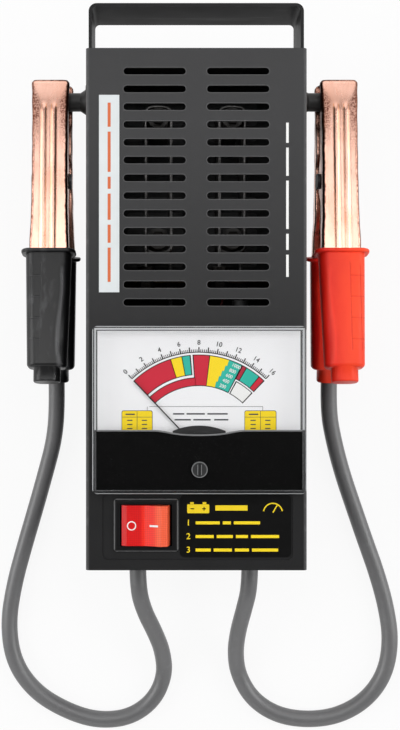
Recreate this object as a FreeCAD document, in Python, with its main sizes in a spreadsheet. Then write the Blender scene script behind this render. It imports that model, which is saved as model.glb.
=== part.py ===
import FreeCAD, Part
import math
import os
import re

import Sketcher

# Battery load tester lying on its back: +X right, +Y towards the handle, +Z out of the dial.
# The origin is under the middle of the case and handle, on the surface the back plate rests on.

V = FreeCAD.Vector

# Driving sizes in millimetres, angles in degrees.
SIZES = {
    # Case of two folded sheets and its handle
    "case_width": 110,
    "case_length": 259.5,
    "case_depth": 76,
    "sheet": 1.2,
    "bend_inside": 0.8,
    "shell_gap": 0.1,
    "side_flange": 14,
    "flange_inset": 4,
    "handle_rise": 23,
    "strap_thickness": 1.6,
    "strap_bend_inside": 2.4,
    "strap_setback": 0.2,
    "strap_below_post": 6.2,
    "strap_relief": 9.2,
    "strap_step": 1.2,
    "leg_below_post": 9.5,
    # Cooling slots and switch tray in the front
    "slot_length": 31,
    "slot_width": 3.45,
    "slot_pitch": 8.84,
    "slot_column": 20.75,
    "slot_first": 11.5,
    "slot_margin": 6,
    "tray_left_margin": 8.3,
    "tray_right_margin": 7.1,
    "tray_low": 5.2,
    "tray_length": 33.2,
    "tray_depth": 0.5,
    "tray_radius": 3,
    # Labels
    "label_thickness": 0.25,
    "strip_margin": 6.6,
    "strip_width": 10.1,
    "strip_first": 23.4,
    "strip_gap": 17.2,
    "plate_switch_gap": 0.8,
    "plate_side_gap": 0.8,
    "plate_low_gap": 1.2,
    "plate_high_gap": 0.8,
    "plate_radius": 2.5,
    # Fasteners
    "hole_gap": 0.2,
    "screw_radius": 1.7,
    "screw_head": 3.2,
    "screw_head_height": 1.8,
    "screw_length": 6,
    "screw_height": 8,
    "screw_low": 22,
    "screw_high": 47.5,
    "rivet_radius": 2,
    "rivet_head": 3.5,
    "rivet_head_height": 0.8,
    "rivet_below_edge": 11.8,
    # Storage posts for the clamps
    "post_radius": 4.8,
    "post_length": 24,
    "post_flare": 7,
    "flare_length": 5,
    "post_drop": 18.5,
    "post_height": 40,
    "post_bore": 2.5,
    "post_bore_depth": 12,
    "post_screw_head": 4.2,
    "post_screw_head_height": 2.8,
    # Meter
    "meter_width": 104.3,
    "meter_length": 81.8,
    "meter_shift": 1.1,
    "meter_gap": 0.7,
    "cover_wall": 1.6,
    "cover_radius": 2.5,
    "meter_fit": 0.15,
    "base_flange": 3,
    "bowl_up": 34.9,
    "bowl_gap": 1.3,
    "bowl_wall": 2,
    "needle_up": 21.2,
    "needle_top_gap": 14.1,
    "needle_width": 0.6,
    "needle_thickness": 0.4,
    "needle_swing": 43.4,
    "needle_gap": 0.8,
    "needle_tail": 5,
    "hub_radius": 2.2,
    "hub_height": 1.6,
    "staff_radius": 0.6,
    "bearing_gap": 0.05,
    "dial_thickness": 0.8,
    "dial_inset": 0.3,
    "dial_hole": 5.5,
    "mask_length": 30.6,
    "mask_thickness": 2,
    "mask_scoop_width": 39,
    "mask_scoop_depth": 2.2,
    "bridge_width": 26,
    "bridge_thickness": 1,
    "bridge_above": 11.9,
    "bridge_below": 5,
    "bridge_arch": 2.6,
    "bridge_leg": 1.8,
    "bridge_leg_gap": 1.2,
    "bridge_leg_low": 3,
    "bridge_lift": 2.5,
    "bridge_clear": 1,
    "magnet_wall": 3.5,
    "magnet_gap": 1.1,
    "magnet_height": 18,
    "core_radius": 6,
    "core_height": 10,
    "core_low": 6,
    "core_gap": 1,
    "coil_bar": 1.4,
    "coil_width": 4,
    "pivot_boss": 3,
    "pivot_boss_height": 2,
    "zero_up": 12,
    "zero_head": 3.95,
    "zero_head_height": 1.4,
    "zero_shaft": 2,
    "zero_slot": 1.1,
    "zero_slot_depth": 0.7,
    "zero_pin": 0.7,
    "zero_throw": 1.2,
    "zero_gap": 0.15,
    "lever_inner": 3.4,
    "lever_outer": 7,
    "lever_thickness": 0.5,
    "lever_arm": 4.4,
    "lever_lift": 0.1,
    "lever_slot_gap": 0.35,
    "lever_prong": 0.6,
    "hairspring_wire": 0.2,
    "hairspring_halves": 5,
    "hairspring_low": 4,
    "hairspring_clear": 5.2,
    "stud_radius": 3,
    "stud_length": 16,
    "stud_spread": 12,
    "stud_up": 42.9,
    "nut_radius": 5.5,
    "nut_height": 4,
    "mount_stud": 1.5,
    "mount_stud_length": 9,
    "mount_stud_inset": 8,
    "mount_nut": 3.2,
    "mount_nut_height": 2.4,
    # Rocker switch
    "switch_side": 30,
    "switch_up": 17.3,
    "bezel_side": 1.9,
    "bezel_end": 2,
    "bezel_rise": 2.2,
    "bezel_radius": 1.5,
    "housing_side": 1.3,
    "housing_end": 0.8,
    "housing_depth": 24,
    "housing_floor": 2,
    "window_width": 25.6,
    "window_length": 20.6,
    "rocker_gap": 0.3,
    "rocker_clear": 0.8,
    "rocker_draft": 0.5,
    "rocker_land": 2.8,
    "rocker_crest_height": 6.4,
    "rocker_end_height": 5,
    "rocker_valley": 4.6,
    "rocker_skirt_low": 0.4,
    "rocker_taper": 4,
    "rocker_foot_low": 2.5,
    "rocker_tilt": 9,
    "rocker_pivot_low": 3.5,
    "trunnion_radius": 1.5,
    "trunnion_reach": 0.7,
    "blade_width": 6.3,
    "blade_thickness": 0.8,
    "blade_length": 22,
    "blade_spread": 7,
    "blade_rise": 4,
    "leaf_width": 5,
    "leaf_thickness": 0.5,
    "leaf_gap": 0.3,
    "leaf_offset": 6.6,
    # Load coils and their insulators
    "coil_wire": 1,
    "coil_x": 19,
    "coil_start": 17.5,
    "coil_end": 31.15,
    "coil_turn": 6.5,
    "coil_low": 24,
    "coil_head": 17.8,
    "coil_turns": 5.5,
    "tube_gap": 0.2,
    "tube_over": 3,
    "tube_stud": 2,
    "tube_stud_gap": 0.2,
    "tube_nut": 3.6,
    "tube_nut_height": 3,
    # Terminal board
    "board_low": 146.25,
    "board_thickness": 3,
    "board_side": 4.5,
    "board_head": 8.8,
    "bolt_radius": 2.5,
    "bolt_head": 4.5,
    "bolt_head_height": 3,
    "bolt_length": 12,
    "bolt_nut": 4.6,
    "bolt_nut_height": 3,
    "bus_height": 10,
    "bus_thickness": 1.5,
    # Clamps
    "clamp_out": 20.2,
    "clamp_below_post": 41.8,
    "jaw_sheet": 1.2,
    "jaw_width": 18,
    "jaw_bend": 2,
    "jaw_side_gap": 0.4,
    "jaw_beyond_post": 9.7,
    "jaw_tip_height": 8,
    "jaw_flat": 11,
    "jaw_flat_height": 11,
    "jaw_shoulder": 8,
    "jaw_shoulder_height": 13.5,
    "jaw_heel": 42,
    "jaw_heel_height": 18,
    "jaw_heel_wall": 6,
    "jaw_grip_gap": 0.3,
    "jaw_mouth": 1.5,
    "lip_length": 3.3,
    "grip_length": 9,
    "tooth_height": 1.5,
    "tooth_pitch": 4.2,
    "tooth_gap": 2,
    "tooth_margin": 6,
    "ear_radius": 6.5,
    "ear_depth": 5,
    "bead_width": 1.8,
    "bead_spread": 7,
    "bead_height": 0.55,
    "bead_ramp": 2,
    "bead_stop": 1,
    "tongue_width": 13,
    "tongue_length": 48,
    "clamp_pin": 2.4,
    "pin_gap": 0.05,
    "pin_head": 4,
    "pin_head_height": 1.3,
    "pin_play": 0.15,
    "boot_overlap": 3.3,
    "boot_sink": 2.5,
    "boot_slope": 9.7,
    "boot_length": 61.2,
    "boot_flange": 27.8,
    "boot_flange_depth": 14.6,
    "boot_flange_thickness": 2,
    "boot_width": 23.4,
    "boot_end_width": 20,
    "boot_depth": 13,
    "boot_radius": 5,
    "boot_round": 2,
    "boot_lip_round": 0.8,
    "boot_stub": 13.5,
    "boot_stub_depth": 11.5,
    "boot_stub_length": 7.1,
    "stub_corner": 0.45,
    "boot_fit": 0.3,
    "boot_mouth_gap": 1.1,
    "spring_wire": 0.8,
    "spring_pin_gap": 1.4,
    "spring_side_gap": 0.65,
    "spring_turns": 4,
    "spring_leg": 26,
    "spring_gap": 0.2,
    # Leads
    "lead_radius": 4.5,
    "lead_x": 30,
    "lead_height": 32,
    "grommet_wall": 1.85,
    "grommet_lip": 2.1,
    "grommet_inside": 2,
    "grommet_outside": 3,
    "grommet_gap": 0.05,
    "wire_radius": 1.5,
    "meter_wire": 0.8,
}

# Routes of the leads from grommet to clamp, and of the wires inside the case.
LEFT_LEAD = [
    (-30, -144.25, 32), (-30, -158, 32), (-26.9, -171.5, 26.5), (-21, -185, 18),
    (-16.7, -197.5, 10), (-15.2, -212, 5.2), (-21.4, -226.5, 4.6), (-35, -236.2, 4.6),
    (-53, -237.9, 4.6), (-70.5, -232.4, 4.6), (-87.9, -222, 4.6), (-99.9, -205.6, 4.6),
    (-103.2, -183.8, 4.6), (-99.7, -161.4, 4.6), (-93.9, -140.1, 4.6), (-87.8, -119.4, 4.6),
    (-82.3, -99.8, 4.8), (-77.2, -81.5, 7.4), (-75.2, -64.05, 10.26), (-75.2, -48.1, 12.98),
]
RIGHT_LEAD = [
    (30, -144.25, 32), (30, -158, 32), (27.2, -171.5, 26.5), (24.6, -185, 18),
    (23.6, -198.5, 10), (25.6, -212, 5.2), (33.5, -226, 4.6), (47.5, -235, 4.6),
    (64.7, -237.6, 4.6), (82, -235.2, 4.6), (97.6, -226.3, 4.6), (108, -211.8, 4.6),
    (111.2, -193.2, 4.6), (108.6, -174.5, 4.6), (103.4, -155.6, 4.6), (96.8, -137.2, 4.6),
    (90.3, -118.3, 4.6), (84, -99.8, 4.8), (78.8, -81.5, 7.4), (75.2, -64.05, 10.26),
    (75.2, -48.1, 12.98),
]

doc = FreeCAD.newDocument("BatteryTester")
sheet = doc.addObject("Spreadsheet::Sheet", "Sizes")
for row, (alias, size) in enumerate(SIZES.items(), start=1):
    sheet.set(f"A{row}", alias)
    sheet.set(f"B{row}", str(size))
    sheet.setAlias(f"B{row}", alias)
doc.recompute()

# Places that several pieces share, as formulas of the sizes.
BOTTOM = "(-(case_length + handle_rise) / 2)"
TOP = f"({BOTTOM} + case_length)"
INSIDE = "(case_width / 2 - sheet - shell_gap)"
PANEL = "(case_depth - sheet)"
BEND = "(bend_inside + sheet)"
STRAP_TOP = f"(case_depth - {BEND} - strap_setback)"
STRAP_LOW = "(post_height - strap_below_post)"
RIVET_Z = f"({STRAP_TOP} - rivet_below_edge)"
TRAY_LOW = f"({BOTTOM} + tray_low)"
TRAY_HIGH = f"({TRAY_LOW} + tray_length)"
TRAY_RIGHT = "(case_width / 2 - tray_right_margin)"
TRAY_FLOOR = "(case_depth - tray_depth)"
POST_Y = f"({TOP} - post_drop)"
LEG_INSIDE = f"({INSIDE} - strap_thickness)"
METER_LOW = f"({TRAY_HIGH} + meter_gap)"
METER_HIGH = f"({METER_LOW} + meter_length)"
NEEDLE_Y = f"({METER_LOW} + needle_up)"
NEEDLE_LENGTH = "(meter_length - needle_up - needle_top_gap)"
ZERO_Y = f"({METER_LOW} + zero_up)"
STUD_Y = f"({METER_LOW} + stud_up)"
BASE_TOP = "(case_depth + base_flange)"
DIAL_TOP = f"({BASE_TOP} + dial_thickness)"
MASK_LOW = f"({DIAL_TOP} + bridge_lift + bridge_thickness + bridge_clear)"
MASK_TOP = f"({MASK_LOW} + mask_thickness)"
METER_TOP = f"({MASK_TOP} + shell_gap + cover_wall)"
MASK_HIGH = f"({METER_LOW} + mask_length)"
COIL_INNER = "(core_radius + core_gap)"
COIL_TOP = "(core_low + core_height + core_gap + coil_bar)"
HAIRSPRING_Z = f"({BASE_TOP} - hairspring_low + lever_prong)"
BOWL_FLOOR = f"({HAIRSPRING_Z} - hairspring_clear - {COIL_TOP})"
BOWL_BACK = f"({BOWL_FLOOR} - bowl_wall)"
MAGNET_INNER = f"({COIL_INNER} + coil_bar + magnet_gap)"
MAGNET_OUTER = f"({MAGNET_INNER} + magnet_wall)"
BOWL_Y = f"({METER_LOW} + bowl_up)"
BOWL_RADIUS = f"(bowl_up - needle_up + {MAGNET_OUTER} + bowl_gap + bowl_wall)"
SWITCH_X = "(switch_side - case_width / 2)"
SWITCH_Y = f"({TRAY_LOW} + switch_up)"
HOUSING_WIDTH = "(window_width + 2 * housing_side)"
HOUSING_LENGTH = "(window_length + 2 * housing_end)"
BEZEL_WIDTH = f"({HOUSING_WIDTH} + 2 * bezel_side)"
BEZEL_LENGTH = f"({HOUSING_LENGTH} + 2 * bezel_end)"
BEZEL_TOP = f"({TRAY_FLOOR} + bezel_rise)"
ROCKER_SKIRT = "(window_width / 2 - rocker_clear)"
ROCKER_END = f"({ROCKER_SKIRT} - rocker_draft)"
ROCKER_FOOT = f"({ROCKER_SKIRT} - rocker_taper)"
ROCKER_Z = f"({BEZEL_TOP} - rocker_pivot_low)"
HOUSING_BACK = f"({TRAY_FLOOR} - housing_depth)"
BOARD_BACK = f"({BOTTOM} + board_low)"
BOARD_FRONT = f"({BOARD_BACK} + board_thickness)"
COIL_FIRST = f"({BOARD_FRONT} + coil_start)"
COIL_LAST = f"({TOP} - coil_end)"
COIL_HIGH = f"({PANEL} - coil_head)"
TUBE_TOP = f"({COIL_HIGH} + tube_over)"
CLAMP_X = "(case_width / 2 + clamp_out)"
CLAMP_Y = f"({POST_Y} - clamp_below_post)"
REAR_JAW_WIDTH = "(jaw_width - 2 * jaw_sheet - 2 * jaw_side_gap)"
JAW_TIP = "(clamp_below_post + jaw_beyond_post)"
BOOT_START = "(jaw_heel - boot_overlap)"
BOOT_RISE = "(jaw_heel_height - boot_sink)"
GROMMET_NECK = "(lead_radius + grommet_gap + grommet_wall)"
GROMMET_FLANGE = f"({GROMMET_NECK} + grommet_lip)"

NAME = re.compile(r"[a-z][a-z_]*[a-z]")
NODES = {}
NEAR = 1e-4

# Share of the shorter run that an arc of a cord takes on each side of its point.
ARC_SHARE = 0.45


def formula(text):
    """Point the size names in a formula at the sheet."""
    return NAME.sub(lambda word: f"Sizes.{word[0]}" if word[0] in SIZES else word[0], str(text))


def number(text):
    return float(sheet.evalExpression(formula(text)))


def bind(thing, path, text):
    thing.setExpression(path, formula(text))


def move(thing, at):
    for axis, text in zip("xyz", at):
        bind(thing, f"Placement.Base.{axis}", text)


def node(label, thing):
    thing.Label = label
    NODES[label] = thing
    return thing


def fix(sketch, kind, target, text):
    """Add a dimension to a sketch and bind it to a formula."""
    index = sketch.addConstraint(Sketcher.Constraint(kind, *target, number(text)))
    bind(sketch, f"Constraints[{index}]", text)


def fix_point(sketch, geometry, vertex, x, y):
    fix(sketch, "DistanceX", (-1, 1, geometry, vertex), x)
    fix(sketch, "DistanceY", (-1, 1, geometry, vertex), y)


def polygon(sketch, corners):
    count = len(corners)
    spots = [V(number(x), number(y), 0) for x, y in corners]
    lines = []
    for index in range(count):
        segment = Part.LineSegment(spots[index], spots[(index + 1) % count])
        lines.append(sketch.addGeometry(segment, False))
    for index in range(count):
        follower = lines[(index + 1) % count]
        sketch.addConstraint(Sketcher.Constraint("Coincident", lines[index], 2, follower, 1))
    for line, (x, y) in zip(lines, corners):
        fix_point(sketch, line, 1, x, y)


def rectangle(sketch, left, low, right, high):
    polygon(sketch, [(left, low), (right, low), (right, high), (left, high)])


def circle(sketch, x, y, radius):
    ring = Part.Circle(V(number(x), number(y), 0), V(0, 0, 1), number(radius))
    index = sketch.addGeometry(ring, False)
    fix(sketch, "Radius", (index,), radius)
    fix_point(sketch, index, 3, x, y)


def arch(sketch, left, low, right, high, sagitta):
    """A rectangle whose high edge bulges away from the low one by the sagitta."""
    a, b = V(number(left), number(low), 0), V(number(right), number(low), 0)
    c, d = V(number(right), number(high), 0), V(number(left), number(high), 0)
    upright = c.y > b.y
    crown = (c + d) / 2 + V(0, number(sagitta) if upright else -number(sagitta), 0)
    lines = [sketch.addGeometry(Part.LineSegment(*ends), False) for ends in ((d, a), (a, b), (b, c))]
    bow = sketch.addGeometry(Part.Arc(c, crown, d) if upright else Part.Arc(d, crown, c), False)
    right_end, left_end = (1, 2) if upright else (2, 1)
    for first, second in ((lines[0], lines[1]), (lines[1], lines[2])):
        sketch.addConstraint(Sketcher.Constraint("Coincident", first, 2, second, 1))
    sketch.addConstraint(Sketcher.Constraint("Coincident", lines[2], 2, bow, right_end))
    sketch.addConstraint(Sketcher.Constraint("Coincident", lines[0], 1, bow, left_end))
    fix_point(sketch, lines[0], 1, left, high)
    fix_point(sketch, lines[1], 1, left, low)
    fix_point(sketch, lines[2], 1, right, low)
    fix_point(sketch, bow, right_end, right, high)
    span = f"(({right}) - ({left}))"
    fix(sketch, "Radius", (bow,), f"({span} * {span} / 4 + ({sagitta}) * ({sagitta})) / (2 * ({sagitta}))")


def slot(sketch, x, y, length, width):
    """A slot along the sketch's X with round ends."""
    reach = (number(length) - number(width)) / 2
    radius = number(width) / 2
    mid_x, mid_y = number(x), number(y)
    quarter = math.pi / 2
    right = Part.Circle(V(mid_x + reach, mid_y, 0), V(0, 0, 1), radius)
    right = Part.ArcOfCircle(right, -quarter, quarter)
    left = Part.Circle(V(mid_x - reach, mid_y, 0), V(0, 0, 1), radius)
    left = Part.ArcOfCircle(left, quarter, 3 * quarter)
    top = Part.LineSegment(V(mid_x + reach, mid_y + radius, 0), V(mid_x - reach, mid_y + radius, 0))
    low = Part.LineSegment(V(mid_x - reach, mid_y - radius, 0), V(mid_x + reach, mid_y - radius, 0))
    right, top, left, low = [sketch.addGeometry(part, False) for part in (right, top, left, low)]
    for first, second in ((right, top), (top, left), (left, low), (low, right)):
        sketch.addConstraint(Sketcher.Constraint("Tangent", first, 2, second, 1))
    sketch.addConstraint(Sketcher.Constraint("Horizontal", top))
    fix(sketch, "Radius", (right,), f"({width}) / 2")
    fix_point(sketch, right, 3, f"({x}) + (({length}) - ({width})) / 2", y)
    fix(sketch, "DistanceX", (-1, 1, left, 3), f"({x}) - (({length}) - ({width})) / 2")


def rounded_rectangle(sketch, width, length, radius, middle_y="0"):
    """A rounded rectangle centred on the sketch's Y axis."""
    half, tall, bend = f"({width}) / 2", f"({length}) / 2", f"({radius})"
    corners = []
    for sign_x, sign_y in ((1, -1), (1, 1), (-1, 1), (-1, -1)):
        across = (f"{sign_x} * ({half} - {bend})", f"{middle_y} + {sign_y} * ({tall})")
        along = (f"{sign_x} * ({half})", f"{middle_y} + {sign_y} * ({tall} - {bend})")
        corners.append((across, along) if sign_x * sign_y < 0 else (along, across))
    pieces = []
    for index, (start, end) in enumerate(corners):
        a, b = V(number(start[0]), number(start[1]), 0), V(number(end[0]), number(end[1]), 0)
        chord = b - a
        outward = V(chord.y, -chord.x, 0).normalize()
        crown = (a + b) / 2 + outward * number(radius) * (1 - math.sqrt(0.5))
        follow = corners[(index + 1) % 4][0]
        c = V(number(follow[0]), number(follow[1]), 0)
        pieces.append(sketch.addGeometry(Part.Arc(a, crown, b), False))
        pieces.append(sketch.addGeometry(Part.LineSegment(b, c), False))
    for index, piece in enumerate(pieces):
        sketch.addConstraint(Sketcher.Constraint("Coincident", piece, 2, pieces[(index + 1) % 8], 1))
    for index, (start, end) in enumerate(corners):
        fix_point(sketch, pieces[2 * index], 1, *start)
        fix_point(sketch, pieces[2 * index + 1], 1, *end)
        fix(sketch, "Radius", (pieces[2 * index],), radius)


class Piece:
    """A body built from sketches on its own origin planes."""

    def __init__(self, label):
        self.body = doc.addObject("PartDesign::Body", label)
        node(label, self.body)

    def datum(self, role):
        return next(part for part in self.body.Origin.OriginFeatures if part.Role == role)

    def sketch(self, plane, at="0"):
        """A sketch on the XY, XZ or YZ plane, shifted to a place on the third axis."""
        drawing = self.body.newObject("Sketcher::SketchObject", "Sketch")
        drawing.AttachmentSupport = (self.datum(f"{plane}_Plane"), [""])
        drawing.MapMode = "FlatFace"
        bind(drawing, "AttachmentOffset.Base.z", f"-({at})" if plane == "XZ" else at)
        return drawing

    def outline(self, plane, at, corners):
        drawing = self.sketch(plane, at)
        polygon(drawing, corners)
        return drawing

    def extrude(self, kind, drawing, length, reverse, symmetric):
        feature = self.body.newObject(f"PartDesign::{kind}", kind)
        feature.Profile = drawing
        bind(feature, "Length", length)
        feature.SideType = "Symmetric" if symmetric else "One side"
        feature.Reversed = reverse
        doc.recompute()
        return feature

    def pad(self, drawing, length, reverse=False, symmetric=False):
        return self.extrude("Pad", drawing, length, reverse, symmetric)

    def pocket(self, drawing, length, reverse=False, symmetric=False):
        before = self.body.Shape.Volume
        feature = self.extrude("Pocket", drawing, length, reverse, symmetric)
        if self.body.Shape.Volume > before - NEAR:
            raise RuntimeError(f"a pocket of {self.body.Label} cuts nothing")
        return feature

    def revolve(self, drawing, axis="H_Axis"):
        feature = self.body.newObject("PartDesign::Revolution", "Revolution")
        feature.Profile = drawing
        feature.ReferenceAxis = (drawing, [axis])
        doc.recompute()
        return feature

    def loft(self, drawings):
        feature = self.body.newObject("PartDesign::AdditiveLoft", "Loft")
        feature.Profile = drawings[0]
        feature.Sections = drawings[1:]
        feature.Ruled = True
        doc.recompute()
        return feature

    def fillet(self, radius, chosen):
        base = self.body.Tip
        names = [f"Edge{index}" for index, edge in enumerate(base.Shape.Edges, start=1) if chosen(edge)]
        if not names:
            raise RuntimeError(f"no edge of {self.body.Label} to round")
        feature = self.body.newObject("PartDesign::Fillet", "Fillet")
        feature.Base = (base, names)
        bind(feature, "Radius", radius)
        self.body.Tip = feature
        doc.recompute()
        return feature

    def repeat(self, feature, axis, pitch, count, reverse=False):
        pattern = self.body.newObject("PartDesign::LinearPattern", "Pattern")
        pattern.Originals = [feature]
        pattern.Direction = (self.datum(f"{axis}_Axis"), [""])
        pattern.Reversed = reverse
        bind(pattern, "Occurrences", count)
        bind(pattern, "Length", f"{pitch} * ({count} - 1)")
        self.body.Tip = pattern
        doc.recompute()
        return pattern


def straight(edge, axis):
    """Whether an edge is a straight line along X, Y or Z."""
    if edge.Curve.TypeId != "Part::GeomLine":
        return False
    spans = {"X": edge.BoundBox.XLength, "Y": edge.BoundBox.YLength, "Z": edge.BoundBox.ZLength}
    return spans.pop(axis) > NEAR and max(spans.values()) < NEAR


def near(value, text):
    return abs(value - number(text)) < NEAR


TURNS = {
    "x": FreeCAD.Rotation(V(0, 1, 0), 90),
    "y": FreeCAD.Rotation(V(1, 0, 0), -90),
    "z": FreeCAD.Rotation(),
}


def rod(radius, length, at, axis="z"):
    thing = doc.addObject("Part::Cylinder", "Rod")
    bind(thing, "Radius", radius)
    bind(thing, "Height", length)
    thing.Placement = FreeCAD.Placement(V(), TURNS[axis])
    move(thing, at)
    return thing


def hexagon(radius, length, at, axis="z"):
    thing = doc.addObject("Part::Prism", "Hexagon")
    thing.Polygon = 6
    bind(thing, "Circumradius", radius)
    bind(thing, "Height", length)
    thing.Placement = FreeCAD.Placement(V(), TURNS[axis])
    move(thing, at)
    return thing


def block(size, at):
    thing = doc.addObject("Part::Box", "Block")
    for path, text in zip(("Length", "Width", "Height"), size):
        bind(thing, path, text)
    move(thing, at)
    return thing


def fuse(*parts):
    thing = doc.addObject("Part::MultiFuse", "Fuse")
    thing.Shapes = list(parts)
    thing.Refine = True
    return thing


def cut(base, *tools):
    for tool in tools:
        thing = doc.addObject("Part::Cut", "Cut")
        thing.Base = base
        thing.Tool = tool
        base = thing
    return base


def group(*parts):
    thing = doc.addObject("Part::Compound", "Group")
    thing.Links = list(parts)
    return thing


# Swept wires and tubes

def rounded_path(points, label):
    """Straight runs joined by tangent arcs as large as the runs allow."""
    spots = [V(*point) for point in points]
    edges = []
    radii = []
    start = spots[0]
    for before, corner, after in zip(spots, spots[1:], spots[2:]):
        back, ahead = before - corner, after - corner
        reach = ARC_SHARE * min(back.Length, ahead.Length)
        back.normalize()
        ahead.normalize()
        half_turn = (math.pi - back.getAngle(ahead)) / 2
        radius = reach / math.tan(half_turn)
        inward = (back + ahead).normalize()
        middle = corner + inward * radius * (1 / math.cos(half_turn) - 1)
        enter, leave = corner + back * reach, corner + ahead * reach
        edges.append(Part.LineSegment(start, enter).toShape())
        edges.append(Part.Arc(enter, middle, leave).toShape())
        radii.append(radius)
        start = leave
    edges.append(Part.LineSegment(start, spots[-1]).toShape())
    print(label, "arc radii", " ".join(f"{radius:.0f}" for radius in radii))
    return Part.Wire(edges)


def tangent_arc(start, heading, end):
    """An arc from start, along a heading, to end."""
    chord = end - start
    along = V(chord).normalize()
    side = heading - along * heading.dot(along)
    if side.Length < 1e-9:
        return Part.LineSegment(start, end).toShape()
    angle = heading.getAngle(along)
    middle = (start + end) / 2 + side.normalize() * (chord.Length / 2 * math.tan(angle / 2))
    return Part.Arc(start, middle, end).toShape()


def biarc(start, start_heading, end, end_heading):
    """Two arcs that leave start and reach end along unit headings."""
    gap = end - start
    total = start_heading + end_heading
    bend = 2 * (1 - start_heading.dot(end_heading))
    if bend < 1e-9:
        reach = gap.dot(gap) / (4 * gap.dot(end_heading))
    else:
        dot = gap.dot(total)
        reach = (-dot + math.sqrt(dot * dot + bend * gap.dot(gap))) / bend
    joint = (start + end + (start_heading - end_heading) * reach) / 2
    first = tangent_arc(start, start_heading, joint)
    second = tangent_arc(end, end_heading * -1, joint)
    second.reverse()
    return [first, second]


def smooth_path(stations):
    """Biarcs through (point, heading) stations."""
    edges = []
    for (start, heading), (end, next_heading) in zip(stations, stations[1:]):
        edges += biarc(start, V(heading).normalize(), end, V(next_heading).normalize())
    return Part.Wire(edges)


def sweep(path, radius, label):
    start = path.Edges[0].firstVertex(True).Point
    heading = path.Edges[0].tangentAt(path.Edges[0].FirstParameter)
    if path.Edges[0].Orientation == "Reversed":
        heading = heading * -1
    section = Part.Wire([Part.Circle(start, heading, radius).toShape()])
    solid = path.makePipeShell([section], True)
    expected = math.pi * radius ** 2 * path.Length
    print(f"{label} length {path.Length:.1f} volume {solid.Volume:.1f} of {expected:.1f}")
    return solid


def least_gap(path, radius, label):
    """Print the least gap of a wound tube to itself, measured on points."""
    step = radius / 2
    points = path.discretize(Number=int(path.Length / step))
    skip = int(3.5 * radius / step) + 1
    cells = {}
    size = 8 * radius
    for index, point in enumerate(points):
        cell = tuple(int(value // size) for value in point)
        cells.setdefault(cell, []).append(index)
    least = math.inf
    for (i, j, k), here in cells.items():
        around = []
        for di in (-1, 0, 1):
            for dj in (-1, 0, 1):
                for dk in (-1, 0, 1):
                    around += cells.get((i + di, j + dj, k + dk), [])
        for first in here:
            for second in around:
                if second - first > skip:
                    least = min(least, points[first].distanceToPoint(points[second]))
    print(f"{label} least gap to itself {least - 2 * radius:.2f}")


def feature(label, shape, at=None):
    thing = doc.addObject("Part::Feature", label)
    thing.Shape = shape
    if at:
        thing.Placement.Base = V(*[number(text) for text in at])
    return node(label, thing)


# Case

def front_shell():
    """Front panel and both sides, folded from one sheet."""
    piece = Piece("front_shell")
    outer, inner = "case_width / 2", "(case_width / 2 - sheet)"
    piece.pad(piece.outline("XZ", TOP, [
        (f"-{outer}", "0"), (f"-{outer}", "case_depth"), (outer, "case_depth"), (outer, "0"),
        (inner, "0"), (inner, PANEL), (f"-{inner}", PANEL), (f"-{inner}", "0")]), "case_length")
    piece.fillet(BEND, lambda edge: straight(edge, "Y") and near(edge.BoundBox.ZMax, "case_depth"))
    piece.fillet("bend_inside", lambda edge: straight(edge, "Y") and near(edge.BoundBox.ZMax, PANEL))

    tray = ("tray_left_margin - case_width / 2", TRAY_LOW, TRAY_RIGHT, TRAY_HIGH)
    drawing = piece.sketch("XY", PANEL)
    rectangle(drawing, *tray)
    piece.pad(drawing, "tray_depth", reverse=True)
    drawing = piece.sketch("XY", "case_depth")
    rectangle(drawing, *tray)
    piece.pocket(drawing, "tray_depth")
    piece.fillet("tray_radius", lambda edge: straight(edge, "Z") and near(edge.Length, "tray_depth"))

    drawing = piece.sketch("XY", "case_depth")
    for side in ("-", ""):
        slot(drawing, f"{side}slot_column", f"{TOP} - slot_first", "slot_length", "slot_width")
    row = piece.pocket(drawing, "2 * sheet")
    rows = f"(floor(({TOP} - slot_first - slot_margin - {METER_HIGH}) / slot_pitch) + 1)"
    piece.repeat(row, "Y", "slot_pitch", rows, reverse=True)

    drawing = piece.sketch("XY", "case_depth")
    circle(drawing, "meter_shift", BOWL_Y, f"{BOWL_RADIUS} + meter_fit")
    for x, y in meter_stud_places():
        circle(drawing, x, y, "mount_stud + hole_gap")
    across, along = f"({HOUSING_WIDTH} / 2 + meter_fit)", f"({HOUSING_LENGTH} / 2 + meter_fit)"
    rectangle(drawing, f"{SWITCH_X} - {across}", f"{SWITCH_Y} - {along}",
              f"{SWITCH_X} + {across}", f"{SWITCH_Y} + {along}")
    piece.pocket(drawing, "2 * sheet + tray_depth")

    drawing = piece.sketch("YZ")
    circle(drawing, POST_Y, "post_height", "post_bore + hole_gap")
    circle(drawing, POST_Y, RIVET_Z, "rivet_radius")
    for y in screw_places():
        circle(drawing, y, "screw_height", "screw_radius + hole_gap")
    piece.pocket(drawing, "case_width + 2 * sheet", symmetric=True)


def meter_stud_places():
    across = "(meter_width / 2 - mount_stud_inset)"
    along = "(meter_length / 2 - mount_stud_inset)"
    middle = f"({METER_LOW} + meter_length / 2)"
    return [(f"meter_shift {sx} {across}", f"{middle} {sy} {along}") for sx in "+-" for sy in "+-"]


def screw_places():
    low, high = f"({BOTTOM} + screw_low)", f"({TOP} - screw_high)"
    return [low, f"({low} + {high}) / 2", high]


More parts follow.
